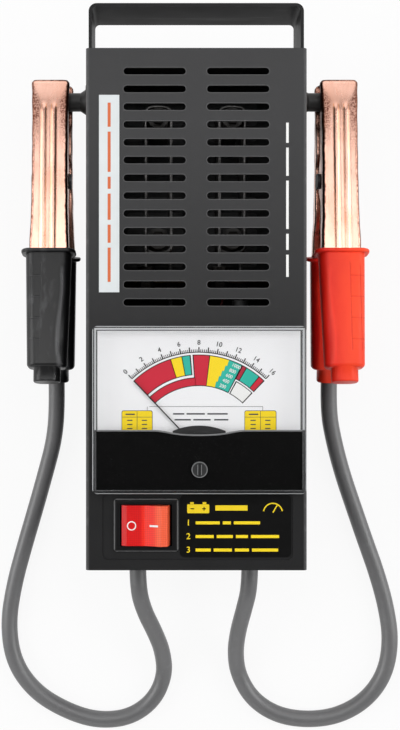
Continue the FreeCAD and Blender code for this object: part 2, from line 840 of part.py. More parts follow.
def rear_shell():
    """Back plate, top and bottom plates and the side flanges that the screws hold."""
    piece = Piece("rear_shell")
    rim = f"({PANEL} - shell_gap)"
    piece.pad(piece.outline("YZ", "0", [
        (BOTTOM, "0"), (TOP, "0"), (TOP, rim), (f"{TOP} - sheet", rim), (f"{TOP} - sheet", "sheet"),
        (f"{BOTTOM} + sheet", "sheet"), (f"{BOTTOM} + sheet", rim), (BOTTOM, rim)]),
        f"2 * {INSIDE}", symmetric=True)
    piece.fillet("bend_inside", lambda edge: straight(edge, "Y") and near(edge.BoundBox.ZMax, rim))
    drawing = piece.sketch("XY", "0")
    for side in ("-", ""):
        near_edge, far_edge = f"{side}({INSIDE} - sheet)", f"{side}{INSIDE}"
        left, right = (far_edge, near_edge) if side else (near_edge, far_edge)
        rectangle(drawing, left, f"{BOTTOM} + flange_inset", right, f"{TOP} - flange_inset")
    piece.pad(drawing, "side_flange")

    drawing = piece.sketch("YZ")
    for y in screw_places():
        circle(drawing, y, "screw_height", "screw_radius")
    piece.pocket(drawing, "case_width", symmetric=True)

    drawing = piece.sketch("XZ", TOP)
    low = f"{STRAP_LOW} - shell_gap"
    rectangle(drawing, f"{LEG_INSIDE} - shell_gap", low, f"{INSIDE} + sheet", f"{PANEL} + sheet")
    rectangle(drawing, f"-({INSIDE} + sheet)", low, f"-({LEG_INSIDE} - shell_gap)", f"{PANEL} + sheet")
    piece.pocket(drawing, "2 * sheet", reverse=True)

    drawing = piece.sketch("XZ", BOTTOM)
    for side in ("-", ""):
        circle(drawing, f"{side}lead_x", "lead_height", f"{GROMMET_NECK} + grommet_gap")
    piece.pocket(drawing, "2 * sheet")


def handle():
    """Flat strap bent into a carrying bow, its legs inside the case."""
    piece = Piece("handle")
    top, low = f"({TOP} + handle_rise)", f"({POST_Y} - leg_below_post)"
    under = f"({top} - strap_thickness)"
    piece.pad(piece.outline("XY", STRAP_LOW, [
        (f"-{INSIDE}", low), (f"-{INSIDE}", top), (INSIDE, top), (INSIDE, low),
        (LEG_INSIDE, low), (LEG_INSIDE, under), (f"-{LEG_INSIDE}", under), (f"-{LEG_INSIDE}", low)]),
        f"{STRAP_TOP} - {STRAP_LOW}")
    piece.fillet("strap_bend_inside + strap_thickness",
                 lambda edge: straight(edge, "Z") and near(edge.BoundBox.YMax, top))
    piece.fillet("strap_bend_inside", lambda edge: straight(edge, "Z") and near(edge.BoundBox.YMax, under))
    # The bow is narrower than its legs, which carry the posts.
    drawing = piece.sketch("XZ", top)
    rectangle(drawing, f"-{INSIDE}", STRAP_LOW, INSIDE, f"{STRAP_LOW} + strap_relief")
    piece.pocket(drawing, "handle_rise - strap_step", reverse=True)
    drawing = piece.sketch("YZ")
    circle(drawing, POST_Y, "post_height", "post_bore + hole_gap")
    circle(drawing, POST_Y, RIVET_Z, "rivet_radius")
    piece.pocket(drawing, "case_width", symmetric=True)


def both_sides(make):
    """Make a thing on the right and its mirror on the left."""
    right = make()
    left = doc.addObject("Part::Mirroring", "Left")
    left.Source = right
    left.Normal = V(1, 0, 0)
    return [right, left]


def case_fasteners():
    def screw(y):
        at = ("case_width / 2", y, "screw_height")
        body = rod("screw_radius", "screw_length", ("case_width / 2 - screw_length", y, "screw_height"), "x")
        return fuse(rod("screw_head", "screw_head_height", at, "x"), body)

    screws = [part for y in screw_places() for part in both_sides(lambda: screw(y))]
    node("case_screws", group(*screws))

    def rivet():
        inner = f"({LEG_INSIDE} - rivet_head_height)"
        return fuse(rod("rivet_radius", f"case_width / 2 - {inner}", (inner, POST_Y, RIVET_Z), "x"),
                    rod("rivet_head", "rivet_head_height", ("case_width / 2", POST_Y, RIVET_Z), "x"),
                    rod("rivet_head", "rivet_head_height", (inner, POST_Y, RIVET_Z), "x"))

    node("handle_rivets", group(*both_sides(rivet)))

    def post_screw():
        inner = f"({LEG_INSIDE} - post_screw_head_height)"
        reach = f"case_width / 2 + post_bore_depth - {inner}"
        return fuse(rod("post_bore", reach, (inner, POST_Y, "post_height"), "x"),
                    rod("post_screw_head", "post_screw_head_height", (inner, POST_Y, "post_height"), "x"))

    node("post_screws", group(*both_sides(post_screw)))


def posts():
    """Turned posts that the clamps grip when stored."""
    for label, side in (("post_right", 1), ("post_left", -1)):
        piece = Piece(label)
        piece.revolve(piece.outline("XY", "0", [
            ("0", "post_bore"), ("0", "post_flare"), ("flare_length / 3", "post_flare"),
            ("flare_length", "post_radius"), ("post_length - sheet", "post_radius"),
            ("post_length", "post_radius - sheet"), ("post_length", "0"), ("post_bore_depth", "0"),
            ("post_bore_depth", "post_bore")]))
        if side < 0:
            piece.body.Placement = FreeCAD.Placement(V(), FreeCAD.Rotation(V(0, 0, 1), 180))
        move(piece.body, (f"{side} * case_width / 2", POST_Y, "post_height"))


def labels():
    piece = Piece("strip_label")
    drawing = piece.sketch("XY", "case_depth")
    left = "(strip_margin - case_width / 2)"
    rectangle(drawing, left, f"{METER_HIGH} + strip_gap", f"{left} + strip_width", f"{TOP} - strip_first")
    piece.pad(drawing, "label_thickness")

    piece = Piece("instruction_label")
    drawing = piece.sketch("XY", TRAY_FLOOR)
    rectangle(drawing, f"{SWITCH_X} + {BEZEL_WIDTH} / 2 + plate_switch_gap", f"{TRAY_LOW} + plate_low_gap",
              f"{TRAY_RIGHT} - plate_side_gap", f"{TRAY_HIGH} - plate_high_gap")
    piece.pad(drawing, "label_thickness")
    piece.fillet("plate_radius", lambda edge: straight(edge, "Z"))


# Meter

def meter_case():
    middle = f"({METER_LOW} + meter_length / 2)"
    half, tall = "(meter_width / 2)", "(meter_length / 2)"
    rim = "(cover_wall + meter_fit)"

    base = Piece("meter_base")
    drawing = base.sketch("XY", "case_depth")
    rectangle(drawing, f"meter_shift - {half} + {rim}", f"{middle} - {tall} + {rim}",
              f"meter_shift + {half} - {rim}", f"{middle} + {tall} - {rim}")
    base.pad(drawing, "base_flange")
    drawing = base.sketch("XY", "case_depth")
    circle(drawing, "meter_shift", BOWL_Y, BOWL_RADIUS)
    base.pad(drawing, f"case_depth - {BOWL_BACK}", reverse=True)
    drawing = base.sketch("XY", BASE_TOP)
    circle(drawing, "meter_shift", BOWL_Y, f"{BOWL_RADIUS} - bowl_wall")
    base.pocket(drawing, f"{BASE_TOP} - {BOWL_FLOOR}")
    drawing = base.sketch("XY", BOWL_FLOOR)
    circle(drawing, "meter_shift", NEEDLE_Y, "pivot_boss")
    base.pad(drawing, "pivot_boss_height")
    drawing = base.sketch("XY", f"{BOWL_FLOOR} + pivot_boss_height")
    circle(drawing, "meter_shift", NEEDLE_Y, "staff_radius + bearing_gap")
    base.pocket(drawing, "pivot_boss_height")
    drawing = base.sketch("XY", BOWL_FLOOR)
    for side in "+-":
        circle(drawing, f"meter_shift {side} stud_spread", STUD_Y, "stud_radius")
    base.pocket(drawing, "2 * bowl_wall")
    drawing = base.sketch("XY", BASE_TOP)
    for x, y in meter_stud_places():
        circle(drawing, x, y, "mount_stud")
    base.pocket(drawing, "base_flange")
    drawing = base.sketch("XY", BASE_TOP)
    for x, y in meter_stud_places():
        circle(drawing, x, y, "2 * mount_stud")
    base.pocket(drawing, "mount_stud")

    cover = Piece("meter_cover")
    drawing = cover.sketch("XY", "case_depth + shell_gap")
    rectangle(drawing, f"meter_shift - {half}", f"{middle} - {tall}",
              f"meter_shift + {half}", f"{middle} + {tall}")
    cover.pad(drawing, f"{METER_TOP} - case_depth - shell_gap")
    cover.fillet("cover_radius", lambda edge: straight(edge, "Z"))
    cover.fillet("cover_wall / 2", lambda edge: near(edge.BoundBox.ZMin, METER_TOP))
    drawing = cover.sketch("XY", "case_depth")
    rectangle(drawing, f"meter_shift - {half} + cover_wall", f"{middle} - {tall} + cover_wall",
              f"meter_shift + {half} - cover_wall", f"{middle} + {tall} - cover_wall")
    cover.pocket(drawing, f"{METER_TOP} - case_depth - cover_wall", reverse=True)
    drawing = cover.sketch("XY", METER_TOP)
    circle(drawing, "meter_shift", ZERO_Y, "zero_shaft + zero_gap")
    cover.pocket(drawing, "2 * cover_wall")

    mask = Piece("meter_mask")
    drawing = mask.sketch("XY", MASK_LOW)
    rectangle(drawing, f"meter_shift - {half} + {rim}", f"{middle} - {tall} + {rim}",
              f"meter_shift + {half} - {rim}", MASK_HIGH)
    mask.pad(drawing, "mask_thickness")
    drawing = mask.sketch("XY", MASK_TOP)
    reach = "(mask_scoop_width / 2)"
    arch(drawing, f"meter_shift - {reach}", f"{MASK_HIGH} + mask_scoop_depth",
         f"meter_shift + {reach}", MASK_HIGH, "mask_scoop_depth")
    mask.pocket(drawing, "2 * mask_thickness")
    drawing = mask.sketch("XY", MASK_TOP)
    circle(drawing, "meter_shift", ZERO_Y, "zero_shaft + zero_gap")
    mask.pocket(drawing, "2 * mask_thickness")

    dial = Piece("dial_plate")
    inset = f"({rim} + dial_inset)"
    drawing = dial.sketch("XY", BASE_TOP)
    rectangle(drawing, f"meter_shift - {half} + {inset}", f"{middle} - {tall} + {inset}",
              f"meter_shift + {half} - {inset}", f"{middle} + {tall} - {inset}")
    dial.pad(drawing, "dial_thickness")
    drawing = dial.sketch("XY", DIAL_TOP)
    circle(drawing, "meter_shift", NEEDLE_Y, "dial_hole")
    dial.pocket(drawing, "2 * dial_thickness")


def meter_fasteners():
    """Terminal studs with their nuts, and the four studs that hold the meter to the panel."""
    studs, nuts = [], []
    for side in "+-":
        x, low = f"meter_shift {side} stud_spread", f"{BOWL_BACK} - nut_height"
        studs.append(rod("stud_radius", "stud_length + bowl_wall", (x, STUD_Y, f"{BOWL_BACK} - stud_length")))
        ring = hexagon("nut_radius", "nut_height", (x, STUD_Y, low))
        nuts.append(cut(ring, rod("stud_radius", "nut_height", (x, STUD_Y, low))))
    for x, y in meter_stud_places():
        # The heads lie flush in the base, under the dial.
        studs.append(fuse(
            rod("mount_stud", "mount_stud_length + base_flange", (x, y, "case_depth - mount_stud_length")),
            rod("2 * mount_stud", "mount_stud", (x, y, f"{BASE_TOP} - mount_stud"))))
        ring = hexagon("mount_nut", "mount_nut_height", (x, y, f"{PANEL} - mount_nut_height"))
        nuts.append(cut(ring, rod("mount_stud", "mount_nut_height", (x, y, f"{PANEL} - mount_nut_height"))))
    node("meter_studs", group(*studs))
    node("meter_nuts", group(*nuts))


def movement():
    """Magnet, core, moving coil, needle and the bridge that carries its upper pivot."""
    x, y, floor = "meter_shift", NEEDLE_Y, BOWL_FLOOR
    node("magnet", cut(rod(MAGNET_OUTER, "magnet_height", (x, y, floor)),
                       rod(MAGNET_INNER, "magnet_height", (x, y, floor))))
    core_low = f"({floor} + core_low)"
    stay = f"({MAGNET_INNER} - bearing_gap)"
    stays = block((f"2 * {stay}", "coil_width", "coil_bar"),
                  (f"{x} - {stay}", f"{y} - coil_width / 2", f"{core_low} + core_height / 2 - coil_bar / 2"))
    trimmed = doc.addObject("Part::Common", "Stays")
    trimmed.Base = stays
    trimmed.Tool = rod(stay, "magnet_height", (x, y, floor))
    node("core", fuse(rod("core_radius", "core_height", (x, y, core_low)), trimmed))

    # The coil's frame stands across the core's stays when the needle is at mid scale.
    frame_low = "(core_low - coil_bar - core_gap)"
    frame_height = f"({COIL_TOP} - {frame_low})"
    outside = f"({COIL_INNER} + coil_bar)"
    ring = cut(block(("coil_width", f"2 * {outside}", frame_height),
                     ("-coil_width / 2", f"-{outside}", frame_low)),
               block(("coil_width", f"2 * {COIL_INNER}", f"{frame_height} - 2 * coil_bar"),
                     ("-coil_width / 2", f"-{COIL_INNER}", f"{frame_low} + coil_bar")))
    tip = "(pivot_boss_height / 2)"
    upper = f"({DIAL_TOP} + bridge_lift + bridge_thickness / 2 - {floor})"
    low_staff = rod("staff_radius", f"{frame_low} + coil_bar / 2 - {tip}", ("0", "0", tip))
    top_start = f"({frame_low} + {frame_height} - coil_bar / 2)"
    top_staff = rod("staff_radius", f"{upper} - {top_start}", ("0", "0", top_start))
    coil = node("moving_coil", fuse(ring, low_staff, top_staff))
    coil.Placement = FreeCAD.Placement(V(), FreeCAD.Rotation(V(0, 0, 1), number("needle_swing")))
    move(coil, (x, y, floor))

    arm = block(("needle_width", NEEDLE_LENGTH, "needle_thickness"), ("-needle_width / 2", "0", "0"))
    tail = block(("3 * needle_width", "needle_tail", "needle_thickness"),
                 ("-1.5 * needle_width", "-needle_tail", "0"))
    hub = rod("hub_radius", "hub_height", ("0", "0", "(needle_thickness - hub_height) / 2"))
    staff_hole = rod("staff_radius", "hub_height", ("0", "0", "(needle_thickness - hub_height) / 2"))
    needle = node("needle", cut(fuse(arm, tail, hub), staff_hole))
    needle.Placement = FreeCAD.Placement(V(), FreeCAD.Rotation(V(0, 0, 1), number("needle_swing")))
    move(needle, (x, y, f"{DIAL_TOP} + needle_gap"))

    bridge = Piece("meter_bridge")
    level = f"({DIAL_TOP} + bridge_lift)"
    drawing = bridge.sketch("XY", level)
    arch(drawing, f"{x} - bridge_width / 2", f"{y} - bridge_below", f"{x} + bridge_width / 2",
         f"{y} + bridge_above - bridge_arch", "bridge_arch")
    bridge.pad(drawing, "bridge_thickness")
    drawing = bridge.sketch("XY", level)
    for side in "+-":
        spread = "(lever_outer + bridge_leg_gap + bridge_leg)"
        circle(drawing, f"{x} {side} {spread}", f"{y} - bridge_leg_low", "bridge_leg")
    bridge.pad(drawing, "bridge_lift", reverse=True)
    drawing = bridge.sketch("XY", level)
    circle(drawing, x, y, "staff_radius + bearing_gap")
    bridge.pocket(drawing, "bridge_thickness", reverse=True)


def zero_adjuster():
    """Slotted screw in the cover whose off-centre pin swings a forked lever."""
    x, y = "meter_shift", ZERO_Y
    head_low = f"({METER_TOP} + shell_gap)"
    lever_low = f"({DIAL_TOP} + lever_lift)"
    shaft_low = f"({lever_low} + 2 * lever_thickness)"
    screw = fuse(rod("zero_head", "zero_head_height", (x, y, head_low)),
                 rod("zero_shaft", f"{head_low} - {shaft_low}", (x, y, shaft_low)),
                 rod("zero_pin", "2 * lever_thickness", (x, f"{y} + zero_throw", lever_low)))
    groove_low = f"{head_low} + zero_head_height - zero_slot_depth"
    groove = block(("zero_slot", "3 * zero_head", "zero_head_height"),
                   (f"{x} - zero_slot / 2", f"{y} - 1.5 * zero_head", groove_low))
    node("zero_screw", cut(screw, groove))

    fork_low = f"({ZERO_Y} - lever_arm / 2)"
    fork = block(("lever_arm", f"{NEEDLE_Y} - lever_inner - {fork_low}", "lever_thickness"),
                 (f"{x} - lever_arm / 2", fork_low, lever_low))
    ring = cut(fuse(rod("lever_outer", "lever_thickness", (x, NEEDLE_Y, lever_low)), fork),
               rod("lever_inner", "lever_thickness", (x, NEEDLE_Y, lever_low)))
    gap = "(zero_pin + lever_slot_gap)"
    slot_tool = block((f"2 * {gap}", "lever_arm + 4 * zero_throw", "lever_thickness"),
                      (f"{x} - {gap}", f"{fork_low} - 2 * zero_throw", lever_low))
    prong_low = f"({BASE_TOP} - hairspring_low)"
    prong = rod("lever_prong", f"{lever_low} + lever_thickness - {prong_low}",
                (x, f"{NEEDLE_Y} + lever_inner + lever_prong", prong_low))
    node("zero_lever", fuse(cut(ring, slot_tool), prong))


def hairspring():
    """Flat spiral from the staff to the lever's prong, drawn with half circles."""
    wire = number("hairspring_wire")
    start = number("staff_radius") + 1.5 * wire
    reach = number("lever_inner") - wire
    halves = int(number("hairspring_halves"))
    edges = []
    for half in range(halves):
        sign = 1 if half % 2 == 0 else -1
        spot = V(0, -sign * (start + (reach - start) * half / halves), 0)
        end = V(0, sign * (start + (reach - start) * (half + 1) / halves), 0)
        middle = (spot + end) / 2 + V(sign * (end - spot).Length / 2, 0, 0)
        edges.append(Part.Arc(spot, middle, end).toShape())
    path = Part.Wire(edges)
    least_gap(path, wire, "hairspring")
    feature("hairspring", sweep(path, wire, "hairspring"), ("meter_shift", NEEDLE_Y, HAIRSPRING_Z))


# Rocker switch

def switch():
    x, y = SWITCH_X, SWITCH_Y
    housing = Piece("switch_housing")
    drawing = housing.sketch("XY", TRAY_FLOOR)
    rectangle(drawing, f"{x} - {BEZEL_WIDTH} / 2", f"{y} - {BEZEL_LENGTH} / 2",
              f"{x} + {BEZEL_WIDTH} / 2", f"{y} + {BEZEL_LENGTH} / 2")
    housing.pad(drawing, "bezel_rise")
    housing.fillet("bezel_radius", lambda edge: straight(edge, "Z") or near(edge.BoundBox.ZMin, BEZEL_TOP))
    drawing = housing.sketch("XY", TRAY_FLOOR)
    rectangle(drawing, f"{x} - {HOUSING_WIDTH} / 2", f"{y} - {HOUSING_LENGTH} / 2",
              f"{x} + {HOUSING_WIDTH} / 2", f"{y} + {HOUSING_LENGTH} / 2")
    housing.pad(drawing, "housing_depth", reverse=True)
    drawing = housing.sketch("XY", BEZEL_TOP)
    rectangle(drawing, f"{x} - window_width / 2", f"{y} - window_length / 2",
              f"{x} + window_width / 2", f"{y} + window_length / 2")
    housing.pocket(drawing, "bezel_rise + housing_depth - housing_floor")
    drawing = housing.sketch("XZ", y)
    circle(drawing, x, ROCKER_Z, "trunnion_radius + bearing_gap")
    housing.pocket(drawing, "window_length + 2 * trunnion_reach", symmetric=True)
    drawing = housing.sketch("XY", HOUSING_BACK)
    for side in "+-":
        spot = f"({x} {side} blade_spread)"
        rectangle(drawing, f"{spot} - blade_thickness / 2", f"{y} - blade_width / 2",
                  f"{spot} + blade_thickness / 2", f"{y} + blade_width / 2")
    housing.pocket(drawing, "2 * housing_floor", reverse=True)

    # The rocker is drawn level and tilted to its rest, with the pressed side to the left.
    rocker = Piece("rocker")
    right = [(ROCKER_FOOT, "-rocker_foot_low"), (ROCKER_SKIRT, "-rocker_skirt_low"),
             (ROCKER_END, "rocker_end_height"), (f"({ROCKER_END} - rocker_land)", "rocker_crest_height")]
    left = [(f"-{across}", height) for across, height in reversed(right)]
    drawing = rocker.sketch("XZ")
    polygon(drawing, right + [("0", "rocker_valley")] + left)
    rocker.pad(drawing, "window_length - 2 * rocker_gap", symmetric=True)
    drawing = rocker.sketch("XZ")
    circle(drawing, "0", "0", "trunnion_radius")
    rocker.pad(drawing, "window_length + 2 * trunnion_reach - 2 * bearing_gap", symmetric=True)
    rocker.body.Placement = FreeCAD.Placement(V(), FreeCAD.Rotation(V(0, 1, 0), -number("rocker_tilt")))
    move(rocker.body, (x, y, ROCKER_Z))

    blades = []
    for side in "+-":
        spot = f"({x} {side} blade_spread)"
        blades.append(block(("blade_thickness", "blade_width", "blade_length + housing_floor + blade_rise"),
                            (f"{spot} - blade_thickness / 2", f"{y} - blade_width / 2",
                             f"{HOUSING_BACK} - blade_length")))
    node("switch_blades", group(*blades))

    # A bent leaf on the housing floor pushes the raised side of the rocker back up.
    leaf = Piece("return_leaf")
    floor = f"({HOUSING_BACK} + housing_floor)"
    under = (f"({ROCKER_Z} - rocker_foot_low * cos(rocker_tilt) + {ROCKER_FOOT} * sin(rocker_tilt)"
             " - leaf_gap - leaf_thickness)")
    reach = f"({ROCKER_FOOT} * cos(rocker_tilt) + rocker_foot_low * sin(rocker_tilt))"
    drawing = leaf.sketch("XZ", f"{y} + leaf_offset")
    polygon(drawing, [
        (f"{x} - leaf_width / 3", floor), (f"{x} + {reach} + leaf_thickness", floor),
        (f"{x} + {reach} + leaf_thickness", f"{under} + leaf_thickness"),
        (f"{x} + {reach} - leaf_width / 4", f"{under} + leaf_thickness"),
        (f"{x} + {reach} - leaf_width / 4", under), (f"{x} + {reach}", under),
        (f"{x} + {reach}", f"{floor} + leaf_thickness"),
        (f"{x} - leaf_width / 3", f"{floor} + leaf_thickness")])
    leaf.pad(drawing, "leaf_width", symmetric=True)


# Load

def load_coil(label, side):
    """Flat-wound heating wire round two insulators, with straight tails to the terminal board."""
    turn, pitch = number("coil_turn"), number(f"({COIL_HIGH} - coil_low) / coil_turns")
    first, last, low = number(COIL_FIRST), number(COIL_LAST), number("coil_low")
    middle = side * number("coil_x")
    tail = number(f"{BOARD_FRONT} + bolt_head_height")
    run = last - first
    lap = 2 * run + 2 * math.pi * turn
    slope = pitch / lap
    height = low
    stations = [(V(middle + turn, tail, height), V(0, 1, 0))]
    halves = int(2 * number("coil_turns"))
    for half in range(halves):
        outward = 1 if half % 2 == 0 else -1
        base = first if outward > 0 else last
        start = V(middle + outward * turn, base, height)
        stations.append((start, V(0, outward, slope)))
        height += slope * run
        stations.append((start + V(0, outward * run, slope * run), V(0, outward, slope)))
        height += slope * math.pi * turn / 2
        stations.append((V(middle, base + outward * (run + turn), height), V(-outward, 0, slope)))
        height += slope * math.pi * turn / 2
    ending = -1 if halves % 2 else 1
    base = last if ending < 0 else first
    stations.append((V(middle + ending * turn, base, height), V(0, ending, slope)))
    stations.append((V(middle + ending * turn, first, height), V(0, ending, 0)))
    stations.append((V(middle + ending * turn, tail, height), V(0, ending, 0)))
    path = smooth_path(stations)
    wire = number("coil_wire")
    least_gap(path, wire, label)
    feature(label, sweep(path, wire, label))


def coil_bolts():
    """Places of the four terminal bolts, at the ends of the two coils."""
    return [(f"{side}coil_x {turn} coil_turn", height)
            for side in ("-", "") for turn, height in (("+", "coil_low"), ("-", COIL_HIGH))]


def load():
    load_coil("load_coil_left", -1)
    load_coil("load_coil_right", 1)
    tubes, studs = [], []
    for side in ("-", ""):
        for y in (COIL_FIRST, COIL_LAST):
            at = (f"{side}coil_x", y, "sheet")
            tubes.append(cut(rod("coil_turn - coil_wire - tube_gap", f"{TUBE_TOP} - sheet", at),
                             rod("tube_stud + tube_stud_gap", f"{TUBE_TOP} - sheet", at)))
            studs.append(fuse(rod("tube_stud", f"{TUBE_TOP} - sheet + tube_nut_height", at),
                              hexagon("tube_nut", "tube_nut_height", (f"{side}coil_x", y, TUBE_TOP))))
    node("coil_insulators", group(*tubes))
    node("insulator_studs", group(*studs))

    board = Piece("terminal_board")
    drawing = board.sketch("XZ", BOARD_FRONT)
    side = f"({INSIDE} - sheet - board_side)"
    rectangle(drawing, f"-{side}", "sheet", side, f"{PANEL} - board_head")
    board.pad(drawing, "board_thickness")
    drawing = board.sketch("XZ", BOARD_FRONT)
    for x, z in coil_bolts():
        circle(drawing, x, z, "bolt_radius")
    board.pocket(drawing, "board_thickness", reverse=True)

    bolts, nuts = [], []
    link = f"({COIL_HIGH} - bus_height / 2)"
    for x, z in coil_bolts():
        high = z == COIL_HIGH
        end = f"({BOARD_FRONT} - bolt_length)"
        bolts.append(fuse(rod("bolt_radius", "bolt_length", (x, end, z), "y"),
                          rod("bolt_head", "bolt_head_height", (x, BOARD_FRONT, z), "y")))
        seat = f"{BOARD_BACK} - bus_thickness" if high else BOARD_BACK
        start = f"{seat} - bolt_nut_height"
        nuts.append(cut(hexagon("bolt_nut", "bolt_nut_height", (x, start, z), "y"),
                        rod("bolt_radius", "bolt_nut_height", (x, start, z), "y")))
    node("terminal_bolts", group(*bolts))
    node("terminal_nuts", group(*nuts))
    left, right = "(-coil_x - coil_turn)", "(coil_x - coil_turn)"
    bar = block((f"{right} - {left} + bus_height", "bus_thickness", "bus_height"),
                (f"{left} - bus_height / 2", f"{BOARD_BACK} - bus_thickness", link))
    holes = [rod("bolt_radius", "bus_thickness", (x, f"{BOARD_BACK} - bus_thickness", COIL_HIGH), "y")
             for x in (left, right)]
    node("bus_bar", cut(bar, *holes))


# Clamps

def jaw(label, side, face):
    """Pressed channel jaw with beads and teeth; face is 1 for the front jaw and -1 for the rear."""
    piece = Piece(label)
    width = "jaw_width" if face > 0 else REAR_JAW_WIDTH
    inner = f"({width} - 2 * jaw_sheet)"

    def out(corners):
        return [(u, v if face > 0 else f"-({v})") for u, v in corners]

    grip = "(post_radius + jaw_grip_gap)"
    back = [(JAW_TIP, "jaw_tip_height"), (f"{JAW_TIP} - jaw_flat", "jaw_flat_height"),
            ("jaw_shoulder", "jaw_shoulder_height"), ("-jaw_heel", "jaw_heel_height")]
    slack = "(grip_length / 2)"
    edge = [("-jaw_heel", "jaw_heel_height - jaw_heel_wall"), ("-2 * ear_radius", "jaw_heel_wall"),
            ("-ear_radius", "-ear_depth + ear_radius / 2"), ("-ear_radius / 2", "-ear_depth"),
            ("ear_radius / 2", "-ear_depth"), ("ear_radius", "-ear_depth + ear_radius / 2")]
    last = f"(clamp_below_post - {slack} - tooth_gap)"
    teeth = int(number(f"floor(({last} - ear_radius - tooth_margin) / tooth_pitch)"))
    start = f"({last} - {teeth} * tooth_pitch)"
    for tooth in range(teeth):
        edge.append((f"{start} + {tooth} * tooth_pitch", "jaw_mouth + tooth_height"))
        edge.append((f"{start} + {tooth + 0.5} * tooth_pitch", "jaw_mouth"))
    edge += [(last, "jaw_mouth"), (f"clamp_below_post - {slack}", grip),
             (f"clamp_below_post + {slack}", grip), (f"{JAW_TIP} - lip_length", "jaw_mouth"),
             (JAW_TIP, "jaw_mouth")]
    drawing = piece.sketch("YZ")
    polygon(drawing, out(back + edge))
    piece.pad(drawing, width, symmetric=True)
    # The sheet is bent round along the back and its corners are cut round at the tip.
    lowest = number("jaw_tip_height")

    def bent(line):
        box = line.BoundBox
        if box.XLength > NEAR:
            return False
        if box.YLength < NEAR:
            return near(box.YMax, JAW_TIP)
        return min(abs(box.ZMin), abs(box.ZMax)) > lowest - NEAR and box.ZMin * face > 0

    piece.fillet("jaw_bend", bent)

    floor = [(f"{JAW_TIP} - jaw_sheet", "jaw_tip_height - jaw_sheet"),
             (f"{JAW_TIP} - jaw_flat", "jaw_flat_height - jaw_sheet"),
             ("jaw_shoulder", "jaw_shoulder_height - jaw_sheet"),
             ("-jaw_heel - jaw_sheet", "jaw_heel_height - jaw_sheet"),
             ("-jaw_heel - jaw_sheet", "-2 * ear_depth"), (f"{JAW_TIP} - jaw_sheet", "-2 * ear_depth")]
    drawing = piece.sketch("YZ")
    polygon(drawing, out(floor))
    piece.pocket(drawing, inner, symmetric=True)

    # The tongue inside the boot lies along the boot's axis.
    fall = "tongue_length * tan(boot_slope)"
    tongue = [("-jaw_heel + 2 * jaw_sheet", "jaw_heel_height - jaw_sheet"), ("-jaw_heel", "jaw_heel_height"),
              ("-jaw_heel - tongue_length", f"jaw_heel_height + {fall}"),
              ("-jaw_heel - tongue_length", f"jaw_heel_height + {fall} - jaw_sheet"),
              ("-jaw_heel", "jaw_heel_height - jaw_sheet")]
    drawing = piece.sketch("YZ")
    polygon(drawing, out(tongue))
    piece.pad(drawing, "tongue_width", symmetric=True)

    # Two pressed beads run from the flat tip to the boot.
    stop = f"(bead_stop - {BOOT_START})"
    rate = "((jaw_heel_height - jaw_shoulder_height) / (jaw_heel + jaw_shoulder))"
    end_height = f"(jaw_shoulder_height + {rate} * (jaw_shoulder - {stop}))"
    bead = [(f"{JAW_TIP} - jaw_flat", "jaw_flat_height - jaw_sheet / 2"),
            (f"{JAW_TIP} - jaw_flat - bead_ramp", "jaw_flat_height + bead_height"),
            ("jaw_shoulder", "jaw_shoulder_height + bead_height"), (stop, f"{end_height} + bead_height"),
            (stop, f"{end_height} - jaw_sheet / 2"), ("jaw_shoulder", "jaw_shoulder_height - jaw_sheet / 2")]
    drawing = piece.sketch("YZ")
    polygon(drawing, out(bead))
    piece.pad(drawing, "bead_spread", symmetric=True)
    drawing = piece.sketch("YZ")
    valley = [(JAW_TIP, "jaw_flat_height + (jaw_flat_height - jaw_shoulder_height) * jaw_flat "
               f"/ ({JAW_TIP} - jaw_flat - jaw_shoulder)"),
              ("jaw_shoulder", "jaw_shoulder_height"), (stop, end_height),
              (f"{stop} - bead_stop", f"{end_height} + 2 * bead_height"),
              ("jaw_shoulder", "jaw_shoulder_height + 3 * bead_height"),
              (JAW_TIP, "jaw_shoulder_height + bead_height")]
    polygon(drawing, out(valley))
    piece.pocket(drawing, "bead_spread - 2 * bead_width", symmetric=True)

    drawing = piece.sketch("YZ")
    circle(drawing, "0", "0", "clamp_pin + pin_gap" if face > 0 else "clamp_pin")
    piece.pocket(drawing, "2 * jaw_width", symmetric=True)
    move(piece.body, (f"{side} * {CLAMP_X}", CLAMP_Y, "post_height"))


